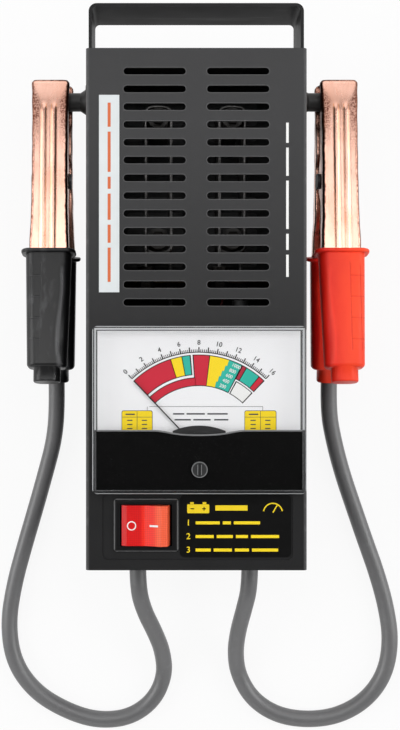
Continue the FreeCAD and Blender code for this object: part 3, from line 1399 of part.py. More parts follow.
def boot(label, side, face):
    """Moulded sleeve on the jaw's tongue, with a flange at its mouth and a stub at its end."""
    piece = Piece(label)
    # The flange is flush on the inner side, so that the handles can close.
    drawing = piece.sketch("XY")
    offset = f"{face} * (boot_flange_depth - boot_depth) / 2"
    rounded_rectangle(drawing, "boot_flange", "boot_flange_depth", "boot_radius", f"({offset})")
    piece.pad(drawing, "boot_flange_thickness")
    piece.fillet("boot_lip_round", lambda line: line.BoundBox.ZLength < NEAR)
    drawing = piece.sketch("XY", "boot_flange_thickness / 2")
    rounded_rectangle(drawing, "boot_width", "boot_depth", "boot_radius")
    ending = piece.sketch("XY", "boot_length")
    rounded_rectangle(ending, "boot_end_width", "boot_depth", "boot_radius")
    piece.loft([drawing, ending])
    piece.fillet("boot_round", lambda line: near(line.BoundBox.ZMin, "boot_length"))
    drawing = piece.sketch("XY", "boot_length - boot_round")
    corner = "min(boot_radius; stub_corner * boot_stub_depth)"
    rounded_rectangle(drawing, "boot_stub", "boot_stub_depth", corner)
    piece.pad(drawing, "boot_stub_length + boot_round")
    piece.fillet("boot_lip_round", lambda line: near(line.BoundBox.ZMin, "boot_length + boot_stub_length"))

    # The tongue's place across the sleeve, and the wider mouth for the jaw's channel.
    lie = "((boot_sink - boot_overlap * tan(boot_slope)) * cos(boot_slope))"
    width = "jaw_width" if face > 0 else REAR_JAW_WIDTH
    high, low = f"({lie} + boot_fit)", f"({lie} - jaw_sheet - boot_fit)"
    drawing = piece.sketch("XY")
    first, second = (low, high) if face > 0 else (f"-{high}", f"-{low}")
    rectangle(drawing, "-tongue_width / 2 - boot_fit", first, "tongue_width / 2 + boot_fit", second)
    bore = "(boot_overlap + tongue_length) / cos(boot_slope) + 4 * boot_fit"
    piece.pocket(drawing, bore, reverse=True)
    drawing = piece.sketch("XY")
    deep = f"({lie} - jaw_heel_wall - 2 * boot_fit)"
    tall = f"({lie} + 3 * boot_fit)"
    first, second = (deep, tall) if face > 0 else (f"-{tall}", f"-{deep}")
    rectangle(drawing, f"-{width} / 2 - boot_fit", first, f"{width} / 2 + boot_fit", second)
    piece.pocket(drawing, "boot_overlap + boot_mouth_gap", reverse=True)

    slope = number("boot_slope")
    piece.body.Placement = FreeCAD.Placement(V(), FreeCAD.Rotation(V(1, 0, 0), 90 - face * slope))
    move(piece.body, (f"{side} * {CLAMP_X}", f"{CLAMP_Y} - {BOOT_START}",
                      f"post_height + {face} * {BOOT_RISE}"))


def clamp_spring(label, side):
    """Torsion spring round the pin, its legs under the two handles."""
    reach, wire = number("spring_leg"), number("spring_wire")
    radius = number("clamp_pin + spring_pin_gap") + wire
    wide = number(f"{REAR_JAW_WIDTH} - 2 * jaw_sheet - 2 * spring_side_gap") - 2 * wire
    rate = number("(jaw_heel_height - jaw_shoulder_height) / (jaw_heel + jaw_shoulder)")
    roof = number("jaw_shoulder_height - jaw_sheet") + rate * (reach + number("jaw_shoulder"))
    seat = roof - wire - number("spring_gap")
    # The leg leaves the coil on the line from its end that touches the coil.
    far = math.hypot(reach, seat)
    lean = math.atan2(seat, reach) - math.asin(radius / far)
    sweep_angle = math.pi - 2 * lean + 2 * math.pi * number("spring_turns")
    begin = lean - math.pi / 2
    rise = wide / sweep_angle
    leg_low, leg_high = V(-wide / 2, -reach, -seat), V(wide / 2, -reach, seat)
    quarters = math.ceil(sweep_angle / (math.pi / 2))
    stations = [(leg_low, V(0, math.cos(lean), math.sin(lean)))]
    for index in range(quarters + 1):
        turned = sweep_angle * index / quarters
        angle = begin + turned
        spot = V(rise * turned - wide / 2, radius * math.cos(angle), radius * math.sin(angle))
        climb = 0 if index in (0, quarters) else rise
        stations.append((spot, V(climb, -radius * math.sin(angle), radius * math.cos(angle))))
    stations.append((leg_high, V(0, -math.cos(lean), math.sin(lean))))
    path = smooth_path(stations)
    least_gap(path, wire, label)
    solid = sweep(path, wire, label)
    feature(label, solid, (f"{side} * {CLAMP_X}", CLAMP_Y, "post_height"))


def clamp(name, side):
    jaw(f"{name}_front_jaw", side, 1)
    jaw(f"{name}_rear_jaw", side, -1)
    boot(f"{name}_front_boot", side, 1)
    boot(f"{name}_rear_boot", side, -1)
    half = "(jaw_width / 2 + pin_play)"
    place = f"({side} * {CLAMP_X})"
    pin = fuse(rod("clamp_pin", f"2 * {half}", (f"{place} - {half}", CLAMP_Y, "post_height"), "x"),
               rod("pin_head", "pin_head_height", (f"{place} + {half}", CLAMP_Y, "post_height"), "x"),
               rod("pin_head", "pin_head_height",
                   (f"{place} - {half} - pin_head_height", CLAMP_Y, "post_height"), "x"))
    node(f"{name}_pin", pin)
    clamp_spring(f"{name}_spring", side)


# Leads and wires

def cable(label, points, radius):
    feature(label, sweep(rounded_path(points, label), radius, label))


def leads():
    def grommet():
        low = f"({BOTTOM} - grommet_outside)"
        inside = f"({BOTTOM} + sheet)"
        outline = fuse(rod(GROMMET_FLANGE, "grommet_outside", ("lead_x", low, "lead_height"), "y"),
                       rod(GROMMET_NECK, "sheet", ("lead_x", BOTTOM, "lead_height"), "y"),
                       rod(GROMMET_FLANGE, "grommet_inside", ("lead_x", inside, "lead_height"), "y"))
        length = "grommet_outside + sheet + grommet_inside"
        return cut(outline, rod("lead_radius + grommet_gap", length, ("lead_x", low, "lead_height"), "y"))

    node("lead_grommets", group(*both_sides(grommet)))
    thick, thin = number("lead_radius"), number("wire_radius")
    cable("lead_left", LEFT_LEAD, thick)
    cable("lead_right", RIGHT_LEAD, thick)

    exit_x, exit_y, exit_z = number("lead_x"), number(f"{BOTTOM} - grommet_outside"), number("lead_height")
    bolt_end, low = number(f"{BOARD_FRONT} - bolt_length"), number("coil_low")
    outer_bolt, inner_bolt = number("coil_x + coil_turn"), number("coil_turn - coil_x")
    cable("lead_tail_right", [
        (exit_x, exit_y, exit_z), (exit_x, exit_y + 40, exit_z), (exit_x - 2, exit_y + 78, low + 2),
        (outer_bolt, bolt_end - 30, low), (outer_bolt, bolt_end, low)], thick)

    blade_y, blade_end = number(SWITCH_Y), number(f"{HOUSING_BACK} - blade_length")
    blade_edge = blade_y - number("blade_width") / 2
    run = Part.LineSegment(V(-exit_x, exit_y, exit_z), V(-exit_x, blade_edge, exit_z))
    tail = Part.Wire([run.toShape()])
    feature("lead_tail_left", sweep(tail, thick, "lead_tail_left"))
    inner_blade = number(f"{SWITCH_X} + blade_spread")
    cable("switch_wire", [
        (inner_blade, blade_y, blade_end), (inner_blade, blade_y, blade_end - 11),
        (inner_blade, blade_y + 13, blade_end - 16), (inner_blade, blade_y + 38, blade_end - 17),
        (inner_bolt - 2, bolt_end - 54, low), (inner_bolt, bolt_end - 26, low),
        (inner_bolt, bolt_end, low)], thin)

    finest = number("meter_wire")
    stud_x, stud_y = number("stud_spread"), number(STUD_Y)
    stud_end, middle = number(f"{BOWL_BACK} - stud_length"), number("meter_shift")
    side = outer_bolt - number("bolt_radius + shell_gap")
    cable("meter_wire_right", [
        (middle + stud_x, stud_y, stud_end), (middle + stud_x, stud_y, stud_end - 10),
        (middle + stud_x, stud_y + 14, stud_end - 15), (middle + stud_x, stud_y + 34, low - 4),
        (side - 8, bolt_end - 6, low), (side - 7, bolt_end + 3, low), (side, bolt_end + 3, low)], finest)
    face = number(f"{SWITCH_X} - blade_spread + blade_thickness / 2")
    cable("meter_wire_left", [
        (middle - stud_x, stud_y, stud_end), (middle - stud_x, stud_y, stud_end - 10),
        (middle - stud_x - 2, stud_y - 13, stud_end - 15), (face + 14, stud_y - 33, stud_end - 12),
        (face + 9, blade_y + 10.5, exit_z), (face + 7, blade_y + 1, exit_z + 9),
        (face, blade_y + 1, exit_z + 9)], finest)


front_shell()
rear_shell()
handle()
case_fasteners()
posts()
labels()
meter_case()
meter_fasteners()
movement()
zero_adjuster()
hairspring()
switch()
load()
clamp("left_clamp", -1)
clamp("right_clamp", 1)
leads()
doc.recompute()

for thing in doc.Objects:
    if "Invalid" in thing.State or "Error" in thing.State:
        raise RuntimeError(f"{thing.Label} failed")
for label, thing in NODES.items():
    if thing.Shape.isNull() or not thing.Shape.isValid():
        raise RuntimeError(f"{label} has no valid shape")

os.makedirs("parts", exist_ok=True)
for label, thing in NODES.items():
    thing.Shape.exportStep(f"parts/{label}.step")
print(len(NODES), "nodes written")
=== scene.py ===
import math
import bmesh
import bpy
from mathutils import Matrix, Vector


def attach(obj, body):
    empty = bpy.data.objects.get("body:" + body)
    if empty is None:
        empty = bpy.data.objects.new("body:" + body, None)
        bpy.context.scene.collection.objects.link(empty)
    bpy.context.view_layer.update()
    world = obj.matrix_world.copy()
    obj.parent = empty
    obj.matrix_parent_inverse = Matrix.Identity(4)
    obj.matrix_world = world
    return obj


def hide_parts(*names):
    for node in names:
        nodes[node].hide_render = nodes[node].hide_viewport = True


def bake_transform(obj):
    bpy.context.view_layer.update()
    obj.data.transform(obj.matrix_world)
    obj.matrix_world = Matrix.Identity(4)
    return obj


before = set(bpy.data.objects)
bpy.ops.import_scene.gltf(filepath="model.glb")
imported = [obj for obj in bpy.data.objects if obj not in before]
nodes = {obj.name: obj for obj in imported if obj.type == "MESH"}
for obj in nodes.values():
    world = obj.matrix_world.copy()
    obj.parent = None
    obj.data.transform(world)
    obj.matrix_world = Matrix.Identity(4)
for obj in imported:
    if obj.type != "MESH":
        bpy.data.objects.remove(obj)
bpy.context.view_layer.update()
mm = 0.001
print("frame loaded:", len(nodes), "nodes")


def ink(red, green, blue):  # a colour as a screen shows it, made linear
    def linear(level):
        level /= 255
        return level / 12.92 if level <= 0.04045 else ((level + 0.055) / 1.055) ** 2.4
    return (linear(red), linear(green), linear(blue), 1)


def spot(x, y, z):
    return Vector((x * mm, y * mm, z * mm))


# shader maths: a wrapped socket that takes + - * / and so on

class Value:
    def __init__(self, finish, socket):
        self.finish, self.socket = finish, socket

    def maths(self, operation, first, second):
        return self.finish.node("ShaderNodeMath", {"operation": operation}, {0: first, 1: second})

    def __add__(self, other):
        return self.maths("ADD", self, other)

    def __radd__(self, other):
        return self.maths("ADD", other, self)

    def __sub__(self, other):
        return self.maths("SUBTRACT", self, other)

    def __rsub__(self, other):
        return self.maths("SUBTRACT", other, self)

    def __mul__(self, other):
        return self.maths("MULTIPLY", self, other)

    def __rmul__(self, other):
        return self.maths("MULTIPLY", other, self)

    def __truediv__(self, other):
        return self.maths("DIVIDE", self, other)

    def __rtruediv__(self, other):
        return self.maths("DIVIDE", other, self)

    def __pow__(self, other):
        return self.maths("POWER", self, other)

    def __gt__(self, other):
        return self.maths("GREATER_THAN", self, other)

    def __lt__(self, other):
        return self.maths("LESS_THAN", self, other)

    def __mod__(self, other):
        return self.maths("FLOORED_MODULO", self, other)

    def __abs__(self):
        return self.maths("ABSOLUTE", self, 0)

    def atLeast(self, other):
        return self.maths("MAXIMUM", self, other)

    def atMost(self, other):
        return self.maths("MINIMUM", self, other)


class Finish:
    def __init__(self, name, **constants):
        self.material = bpy.data.materials.new(name)
        self.material.use_nodes = True
        self.tree = self.material.node_tree
        self.shader = self.tree.nodes["Principled BSDF"]
        for socket, value in constants.items():
            self.shader.inputs[socket.replace("_", " ")].default_value = value
        self.place = self.node("ShaderNodeTexCoord", {}, {}, "Object")

    def node(self, kind, settings, inputs, output=0):
        made = self.tree.nodes.new(kind)
        for setting, value in settings.items():
            setattr(made, setting, value)
        for socket, value in inputs.items():
            self.join(made.inputs[socket], value)
        return Value(self, made.outputs[output])

    def join(self, socket, value):
        if isinstance(value, Value):
            self.tree.links.new(value.socket, socket)
        else:
            socket.default_value = value

    def feed(self, socket, value):
        self.join(self.shader.inputs[socket], value)

    def noise(self, scale, detail=3, where=None):
        inputs = {"Vector": where or self.place, "Scale": scale, "Detail": detail}
        return self.node("ShaderNodeTexNoise", {}, inputs)

    def stretched(self, x, y, z):
        return self.node("ShaderNodeMapping", {}, {"Vector": self.place, "Scale": (x, y, z)})

    def axis(self, name):
        return self.node("ShaderNodeSeparateXYZ", {}, {"Vector": self.place}, name)

    def fromRim(self, place):  # how far in from the sides of a rectangle
        side = place["halfWide"] - abs(self.axis("X") - place["x"])
        return side.atMost(place["halfTall"] - abs(self.axis("Y") - place["y"]))

    def ramp(self, value, low, high):  # 0 below low, 1 above high, smooth between
        return self.node("ShaderNodeMapRange", {"interpolation_type": "SMOOTHSTEP"},
                         {"Value": value, "From Min": low, "From Max": high})

    def mix(self, factor, first, second):
        inputs = {"Factor": factor, 6: first, 7: second}  # 6 and 7 are the mix node's colour sockets
        return self.node("ShaderNodeMix", {"data_type": "RGBA"}, inputs, 2)

    def bump(self, height, strength, distance):
        inputs = {"Height": height, "Strength": strength, "Distance": distance}
        self.feed("Normal", self.node("ShaderNodeBump", {}, inputs))


# finishes, darkest tone to lightest tone

paints = {
    # case: a lighter tone towards the top end is painted light, and the edge tone is a painted highlight
    # on the bends and slot edges
    "case": {"low": ink(13, 13, 14), "high": ink(20, 20, 21), "litTone": ink(54, 54, 55),
             "edge": ink(98, 98, 99), "rough": 0.47, "litRange": (-0.09, 0.11), "bend": (0.0528, 0.0549),
             "front": (0.0725, 0.0755)},
    "strap": {"low": ink(12, 12, 13), "high": ink(20, 20, 21), "edge": ink(42, 42, 43), "rough": 0.46},
}
slots = {"first": 106.75 * mm, "pitch": 8.84 * mm, "rows": 14, "column": 20.75 * mm, "half": 13.77 * mm,
         "radius": 1.725 * mm}

# where the clamps' pins lie, and the relief of their sleeves: grid grooves on the outer half, and a bowed
# thumb ridge on the inner half, lower on the right sleeve

clamps = {"out": 75.2, "y": 57.95, "z": 40}
sleeve = {
    "slope": 9.7, "y": 19.25, "rise": 15.5, "face": 4.9, "cut": 3.4, "sharp": 35,
    "rows": (6.3, -4.5, -15.3, -26.1), "pitch": 10.8, "columns": (3.2, 8.4), "line": 0.35, "margin": 0.7,
    "deep": 0.3, "first": 12.6, "last": -32.0, "underLip": (18.2, 17.9, 17.6, 17.2, 16.6),
    "ridge": 6.8, "sway": 1.1, "swayMiddle": -26.0, "swayRate": 0.112, "ridgeWide": 1.2,
    "ridgeHigh": {-1: 0.6, 1: 0.22}, "ridgeFrom": 12.0, "ridgeTo": -38.0, "fade": 5.0,
    "ridgeCut": 0.84, "ridgeCuts": 5, "alongCut": 3.5, "alongCuts": 15,
}


def caseFinish():
    tone = paints["case"]
    made = Finish("casePaint", Specular_IOR_Level=0.3)
    mottle = made.noise(45, 4)
    grain = made.noise(1600, 2)
    paintedLight = made.ramp(made.axis("Y"), *tone["litRange"])  # painted light: the paint is made lighter towards the top end, where more light falls
    body = made.mix(paintedLight, made.mix(mottle, tone["low"], tone["high"]), tone["litTone"])
    # the long bends: a painted highlight, scuffed in places
    side = made.ramp(abs(made.axis("X")), *tone["bend"]) * made.ramp(made.axis("Z"), *tone["front"])
    scuff = made.ramp(made.noise(260, 5), 0.5, 0.72)
    # a painted highlight on the punched edges of the slots
    across = (abs(abs(made.axis("X")) - slots["column"]) - slots["half"]).atLeast(0)
    step = (made.axis("Y") - slots["first"]) / slots["pitch"] + 0.5
    along = abs(step % 1.0 - 0.5) * slots["pitch"]
    inRows = (step < 1.0) * (step > 1.0 - slots["rows"])
    away = (across * across + along * along) ** 0.5 - slots["radius"]
    rim = inRows * (1 - made.ramp(away, 0.00012, 0.00055))
    # painted highlight on the bends, scuffed, and on the slot edges
    worn = side * (0.55 + 0.3 * scuff)
    made.feed("Base Color", made.mix(worn.atLeast(0.55 * rim), body, tone["edge"]))
    made.feed("Roughness", tone["rough"] + 0.14 * mottle - 0.06 * scuff)
    made.bump(grain + 0.4 * mottle, 0.22, 0.0002)
    return made.material


def strapFinish():
    tone = paints["strap"]
    made = Finish("strapPaint", Specular_IOR_Level=0.25)
    mottle = made.noise(60, 4)
    rub = made.ramp(made.noise(22, 4, made.stretched(1, 6, 6)), 0.55, 0.8)
    body = made.mix(mottle, tone["low"], tone["high"])
    made.feed("Base Color", made.mix(0.5 * rub, body, tone["edge"]))
    made.feed("Roughness", tone["rough"] + 0.12 * mottle - 0.1 * rub)
    made.bump(made.noise(1500, 2), 0.2, 0.0002)
    return made.material


def mouldedFinish(name, low, high, rough, grain=0.12, specular=0.5):
    made = Finish(name, Specular_IOR_Level=specular)
    mottle = made.noise(70, 4)
    made.feed("Base Color", made.mix(mottle, low, high))
    made.feed("Roughness", rough + 0.16 * made.noise(240, 3) - 0.08)
    made.bump(made.noise(2100, 2), grain, 0.00015)
    return made.material


def metalFinish(name, low, high, rough, brush=(1, 1, 1), grain=0.1):
    made = Finish(name, Metallic=1.0)
    along = made.stretched(*brush)
    lines = made.noise(900, 4, along)
    stain = made.noise(75, 4)
    made.feed("Base Color", made.mix(made.ramp(stain, 0.3, 0.75), low, high))
    made.feed("Roughness", rough + 0.18 * lines + 0.1 * stain - 0.12)
    made.bump(lines, grain, 0.0001)
    return made.material


def copperFinish():
    made = Finish("jawCopper", Metallic=1.0)
    side = abs(made.axis("X")) - clamps["out"] * mm  # outwards from the clamp's middle line
    out = abs(side)
    along = made.axis("Y") - clamps["y"] * mm  # from the pin
    rim = made.node("ShaderNodeAttribute", {"attribute_name": "rim"}, {}, "Fac")  # 1 on the rolled edges
    speck = made.ramp(made.noise(1300, 3), 0.4, 0.62)
    cloud = made.ramp(made.noise(60, 4, made.stretched(1.6, 0.6, 1.6)), 0.4, 0.75)
    drawn = made.noise(700, 3, made.stretched(1, 0.05, 1))
    past = (along - 0.04).atLeast(0)  # beyond the crease near the tip
    vee = out + 0.0015 * made.noise(160, 3) - 0.004 - 0.5 * past
    flank = made.ramp(vee, 0, 0.0035) * made.ramp(along, 0.01, 0.036)
    # painted shade on the rolled edges, broken up by specks
    edge = made.ramp(rim + 0.6 * made.noise(420, 4), 0.5, 0.85)
    inner = edge * (side < 0) * (made.axis("Z") > 0.04)
    crown = abs(abs(side - 0.0005) - 0.0026)  # from the middle of the nearer bead
    foot = made.ramp(abs(crown - 0.00125), 0.0004, 0.0001) * (along < 0.0385) * (0.5 + 0.5 * cloud)
    bright = made.mix(drawn, ink(212, 161, 141), ink(228, 186, 169))
    worn = made.mix(0.3 * cloud, bright, ink(196, 126, 94))
    marked = made.mix(0.7 * foot, worn, ink(214, 136, 78))
    dusted = made.mix(flank * (0.3 + 0.65 * speck), marked, ink(88, 38, 24))
    rolled = made.mix(edge * (0.5 + 0.45 * speck), dusted, ink(96, 46, 26))
    # darker painted shade on the inner rolled edges, toward the case
    made.feed("Base Color", made.mix(0.75 * inner, rolled, ink(62, 28, 18)))
    made.feed("Roughness", 0.2 + 0.1 * cloud + 0.14 * flank + 0.06 * drawn)
    made.bump(0.4 * drawn + cloud + 0.5 * flank * speck + 0.3 * edge * speck, 0.14, 0.0003)
    return made.material


def bootFinish(name, low, high, groove, sheen, rough, specular):
    made = Finish(name, Specular_IOR_Level=specular)
    cloud = made.ramp(made.noise(55, 4, made.stretched(1, 0.5, 1)), 0.35, 0.68)
    flow = made.noise(160, 4, made.stretched(1, 0.25, 1))
    out, along = abs(made.axis("X")) - clamps["out"] * mm, made.axis("Y")
    # the moulded grooves tinted: lighter on the black sleeve, and darker on the red one, a painted shade
    # in the recess
    row = (along - sleeve["rows"][1] * mm) / (sleeve["pitch"] * mm)
    rows = made.ramp(abs(row % 1.0 - 0.5), 0.455, 0.49)
    first, second = (made.ramp(abs(out - column * mm), 0.00045, 0.0001) for column in sleeve["columns"])
    inRows = out > sleeve["columns"][0] * mm
    lines = (rows * inRows + (first + second)) * (along < 0.0135) * (along > sleeve["last"] * mm)
    # the thumb ridge: a painted highlight along its crest, and painted shade on its inner side
    sway = (along - sleeve["swayMiddle"] * mm) * (sleeve["swayRate"] / mm)
    ridge = out + sleeve["ridge"] * mm - sleeve["sway"] * mm * sway.maths("COSINE", sway, 0)
    crest = made.ramp(abs(ridge), 0.0019, 0.0002) * made.ramp(along, 0.0125, 0.0085) * (along > -0.041)
    shade = made.ramp(0 - ridge, 0.0002, 0.002)
    litOutside = made.ramp(out, -0.0105, 0.006)  # painted light: lighter to the outside, darker on the shaded inner side
    body = made.mix(0.3 * cloud + 0.7 * litOutside, low, high)
    # painted highlights in streaks, towards the outer half
    streak = made.ramp(made.noise(240, 4, made.stretched(1, 0.35, 1)), 0.5, 0.72)
    streak = streak * made.ramp(out, -0.008, 0.002)
    body = made.mix((0.5 * crest).atLeast(0.3 * streak), body, sheen)
    body = made.mix(0.45 * shade, body, low)
    made.feed("Base Color", made.mix(0.25 * lines, body, groove))
    made.feed("Roughness", rough + 0.2 * flow - 0.1 - 0.08 * crest)
    made.bump(0.2 * made.noise(1300, 3) + 0.5 * flow, 0.5, 0.0003)
    return made.material


def coverFinish():
    made = Finish("clearCover", Roughness=0.05, IOR=1.49, Specular_IOR_Level=0.2)
    place = {"x": 1.1 * mm, "y": -61.25 * mm, "halfWide": 52.15 * mm, "halfTall": 40.9 * mm}
    mask = -71.5 * mm  # where the dark mask ends
    edge = made.fromRim(place)
    # painted highlights round the front: a bright outer corner, then a painted dark line, then the lit
    # wall
    outer = 1 - made.ramp(edge, 0.0003, 0.0006)
    wall = made.ramp(edge, 0.0009, 0.0011) * (1 - made.ramp(edge, 0.0018, 0.0022))
    wall = wall * made.ramp(made.axis("Y"), mask, mask + 0.001)
    scratch = made.ramp(made.noise(420, 5, made.stretched(0.25, 1.5, 1)), 0.66, 0.74)
    front = made.ramp(made.axis("Z"), 0.0868, 0.0874)
    light = front * outer.atLeast(wall)
    # the side walls painted light grey, a painted highlight
    band = 1 - made.ramp(edge, 0.0016, 0.0020)
    side = band * (1 - front)
    made.feed("Base Color", made.mix(light + side, ink(14, 14, 15), ink(214, 216, 218)))
    made.feed("Alpha", 0.02 + 0.02 * scratch + front * (0.3 * band + 0.35 * light) + 0.2 * side)
    return made.material


def rockerFinish():
    made = Finish("rockerRed", Coat_Weight=0.12, Coat_Roughness=0.15, Specular_IOR_Level=0.3)
    pitch = 0.0009
    across = abs((made.axis("X") / pitch) % 1.0 - 0.5)
    along = abs((made.axis("Y") / pitch) % 1.0 - 0.5)
    cell = made.ramp(across, 0.3, 0.46) + made.ramp(along, 0.3, 0.46)
    # painted light: the left part a darker red, the rest lighter
    middle = made.ramp(made.axis("X"), -0.0282, -0.0262)
    lit = made.ramp(made.axis("X"), -0.022, -0.0185)  # painted highlight: the raised end made orange
    body = made.mix(lit, made.mix(middle, ink(222, 4, 6), ink(250, 44, 24)), ink(255, 100, 60))
    made.feed("Base Color", made.mix(0.25 * cell, body, ink(140, 4, 8)))
    made.feed("Roughness", 0.36 + 0.12 * made.noise(60, 3))
    made.bump(1 - 0.5 * cell, 0.35, 0.0002)
    return made.material


def bezelFinish():
    made = Finish("bezelBlack", Specular_IOR_Level=0.18)
    place = {"x": -0.025, "y": -0.11875, "halfWide": 0.016, "halfTall": 0.0131}
    edge = made.fromRim(place)
    # a painted highlight along the outer edges, which are also smoother
    edgeHighlight = 1 - made.ramp(edge, 0.0002, 0.0007)
    body = made.mix(made.noise(80, 3), ink(7, 7, 8), ink(14, 14, 15))
    made.feed("Base Color", made.mix(0.8 * edgeHighlight, body, ink(140, 140, 141)))
    made.feed("Roughness", 0.38 - 0.14 * edgeHighlight + 0.08 * made.noise(300, 3))
    made.bump(made.noise(2100, 2), 0.1, 0.00015)
    return made.material


def leadFinish():
    made = Finish("leadRubber", Specular_IOR_Level=0.75)
    cloud = made.noise(34, 4)
    rub = made.ramp(made.noise(300, 4), 0.55, 0.75)
    body = made.mix(cloud, ink(92, 92, 93), ink(109, 109, 110))
    made.feed("Base Color", made.mix(0.2 * rub, body, ink(130, 130, 131)))
    made.feed("Roughness", 0.36 + 0.1 * cloud)
    made.bump(made.noise(1500, 3), 0.16, 0.0002)
    return made.material


def printedFinish(name, colour, rough=0.45):
    made = Finish(name)
    wear = made.ramp(made.noise(700, 4), 0.58, 0.8)
    fade = made.noise(60, 3)
    deep = tuple(0.86 * level for level in colour[:3]) + (1,)
    made.feed("Base Color", made.mix(0.5 * fade + 0.2 * wear, colour, deep))
    made.feed("Roughness", rough + 0.12 * fade)
    return made.material


def dialFinish():
    made = Finish("dialWhite")
    cloud = made.noise(18, 3)
    speck = made.ramp(made.noise(1900, 2), 0.7, 0.8)
    paper = made.mix(cloud, ink(240, 240, 242), ink(248, 248, 249))
    made.feed("Base Color", made.mix(0.15 * speck, paper, ink(190, 190, 192)))
    made.feed("Roughness", 0.55 + 0.1 * cloud)
    return made.material


casePaint = caseFinish()
strapPaint = strapFinish()
jawCopper = copperFinish()
clearCover = coverFinish()
rockerRed = rockerFinish()
leadRubber = leadFinish()
dialWhite = dialFinish()
blackPlastic = mouldedFinish("blackPlastic", ink(20, 20, 21), ink(30, 30, 31), 0.42)
maskBlack = mouldedFinish("maskBlack", ink(1, 1, 1), ink(4, 4, 4), 0.24, 0.03, specular=0.2)
bezelBlack = bezelFinish()
rimGrey = mouldedFinish("rimGrey", ink(104, 105, 106), ink(132, 133, 134), 0.4, 0.05)
postBlack = mouldedFinish("postBlack", ink(34, 33, 33), ink(46, 45, 44), 0.5)
bootBlack = bootFinish("bootBlack", ink(5, 5, 6), ink(22, 22, 23), ink(62, 62, 63), ink(90, 90, 92),
                       rough=0.36, specular=0.4)
bootRed = bootFinish("bootRed", ink(224, 18, 16), ink(255, 76, 38), ink(206, 26, 20), ink(250, 62, 40),
                     rough=0.46, specular=0.3)
wireBlack = mouldedFinish("wireBlack", ink(22, 22, 23), ink(34, 34, 35), 0.5)
wireRed = mouldedFinish("wireRed", ink(96, 14, 16), ink(122, 20, 20), 0.5)
heatSteel = metalFinish("heatSteel", ink(38, 36, 35), ink(58, 55, 53), 0.5)
zincSteel = metalFinish("zincSteel", ink(150, 152, 155), ink(190, 192, 195), 0.34)
springSteel = metalFinish("springSteel", ink(120, 122, 125), ink(170, 172, 175), 0.3)
heatWire = metalFinish("heatWire", ink(88, 87, 86), ink(134, 132, 131), 0.42)
brassBright = metalFinish("brassBright", ink(196, 158, 84), ink(226, 192, 116), 0.3)
ironGround = metalFinish("ironGround", ink(54, 54, 56), ink(84, 84, 86), 0.45)
coilAlloy = metalFinish("coilAlloy", ink(170, 171, 174), ink(204, 205, 208), 0.34)
ceramic = mouldedFinish("ceramic", ink(52, 50, 48), ink(72, 69, 66), 0.5, 0.05)
laminate = mouldedFinish("laminate", ink(108, 70, 40), ink(134, 90, 54), 0.55)
filmBlack = mouldedFinish("filmBlack", ink(3, 3, 3), ink(8, 8, 8), 0.38, 0.04, specular=0.17)
filmWhite = mouldedFinish("filmWhite", ink(212, 217, 218), ink(226, 231, 232), 0.42, 0.04)
inkBlack = printedFinish("inkBlack", ink(8, 8, 10))
inkGrey = printedFinish("inkGrey", ink(66, 67, 70))
inkWhite = printedFinish("inkWhite", ink(244, 244, 242))
inkRed = printedFinish("inkRed", ink(206, 18, 50))
inkDarkRed = printedFinish("inkDarkRed", ink(170, 26, 52))
inkYellow = printedFinish("inkYellow", ink(255, 222, 8))
inkTeal = printedFinish("inkTeal", ink(34, 184, 164))
inkOrange = printedFinish("inkOrange", ink(216, 104, 52))
print("finishes made:", len(bpy.data.materials))

nodeFinishes = {
    casePaint: ["front_shell", "rear_shell"],
    strapPaint: ["handle", "handle_rivets"],
    zincSteel: ["case_screws", "post_screws", "meter_nuts"],
    heatSteel: ["insulator_studs", "terminal_bolts", "terminal_nuts"],
    postBlack: ["post_left", "post_right"],
    filmWhite: ["strip_label"],
    filmBlack: ["instruction_label"],
    blackPlastic: ["meter_base", "meter_bridge", "zero_screw"],
    maskBlack: ["meter_mask"],
    bezelBlack: ["switch_housing"],
    clearCover: ["meter_cover"],
    dialWhite: ["dial_plate"],
    inkBlack: ["needle"],
    brassBright: ["meter_studs", "zero_lever", "switch_blades", "bus_bar"],
    coilAlloy: ["moving_coil"],
    rockerRed: ["rocker"],
    ceramic: ["coil_insulators"],
    laminate: ["terminal_board"],
    wireBlack: ["lead_grommets"],
    jawCopper: ["left_clamp_front_jaw", "left_clamp_rear_jaw", "right_clamp_front_jaw",
                "right_clamp_rear_jaw"],
    ironGround: ["magnet", "core", "left_clamp_pin", "right_clamp_pin"],
}
for finish, names in nodeFinishes.items():
    for name in names:
        nodes[name].data.materials.clear()
        nodes[name].data.materials.append(finish)


# piece makers

def settle(made, body):  # into the scene and onto its body
    bpy.context.scene.collection.objects.link(made)
    if body:
        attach(made, body)
    return made


def piece(name, mesh, finish, body):
    mesh.materials.clear()
    mesh.materials.append(finish)
    return settle(bpy.data.objects.new(name, mesh), body)


def solid(name, shape, finish, body, smooth=True):
    mesh = bpy.data.meshes.new(name)
    for face in shape.faces:
        face.smooth = smooth
    shape.to_mesh(mesh)
    shape.free()
    return piece(name, mesh, finish, body)


def strand(name, route, radius, finish, body=None, sides=6):
    curve = bpy.data.curves.new(name, "CURVE")
    curve.dimensions = "3D"
    curve.bevel_depth = radius * mm
    curve.bevel_resolution = sides
    curve.resolution_u = 10
    curve.use_fill_caps = True
    line = curve.splines.new("NURBS")
    line.points.add(len(route) - 1)
    for point, place in zip(line.points, route):
        point.co = (*spot(*place), 1)
    line.order_u = 3
    line.use_endpoint_u = True
    curve.materials.append(finish)
    return settle(bpy.data.objects.new(name, curve), body)


def meshOf(made):  # the mesh of a curve or text, and the curve goes
    bpy.context.view_layer.update()
    graph = bpy.context.evaluated_depsgraph_get()
    mesh = bpy.data.meshes.new_from_object(made.evaluated_get(graph))
    bpy.data.objects.remove(made)
    return mesh


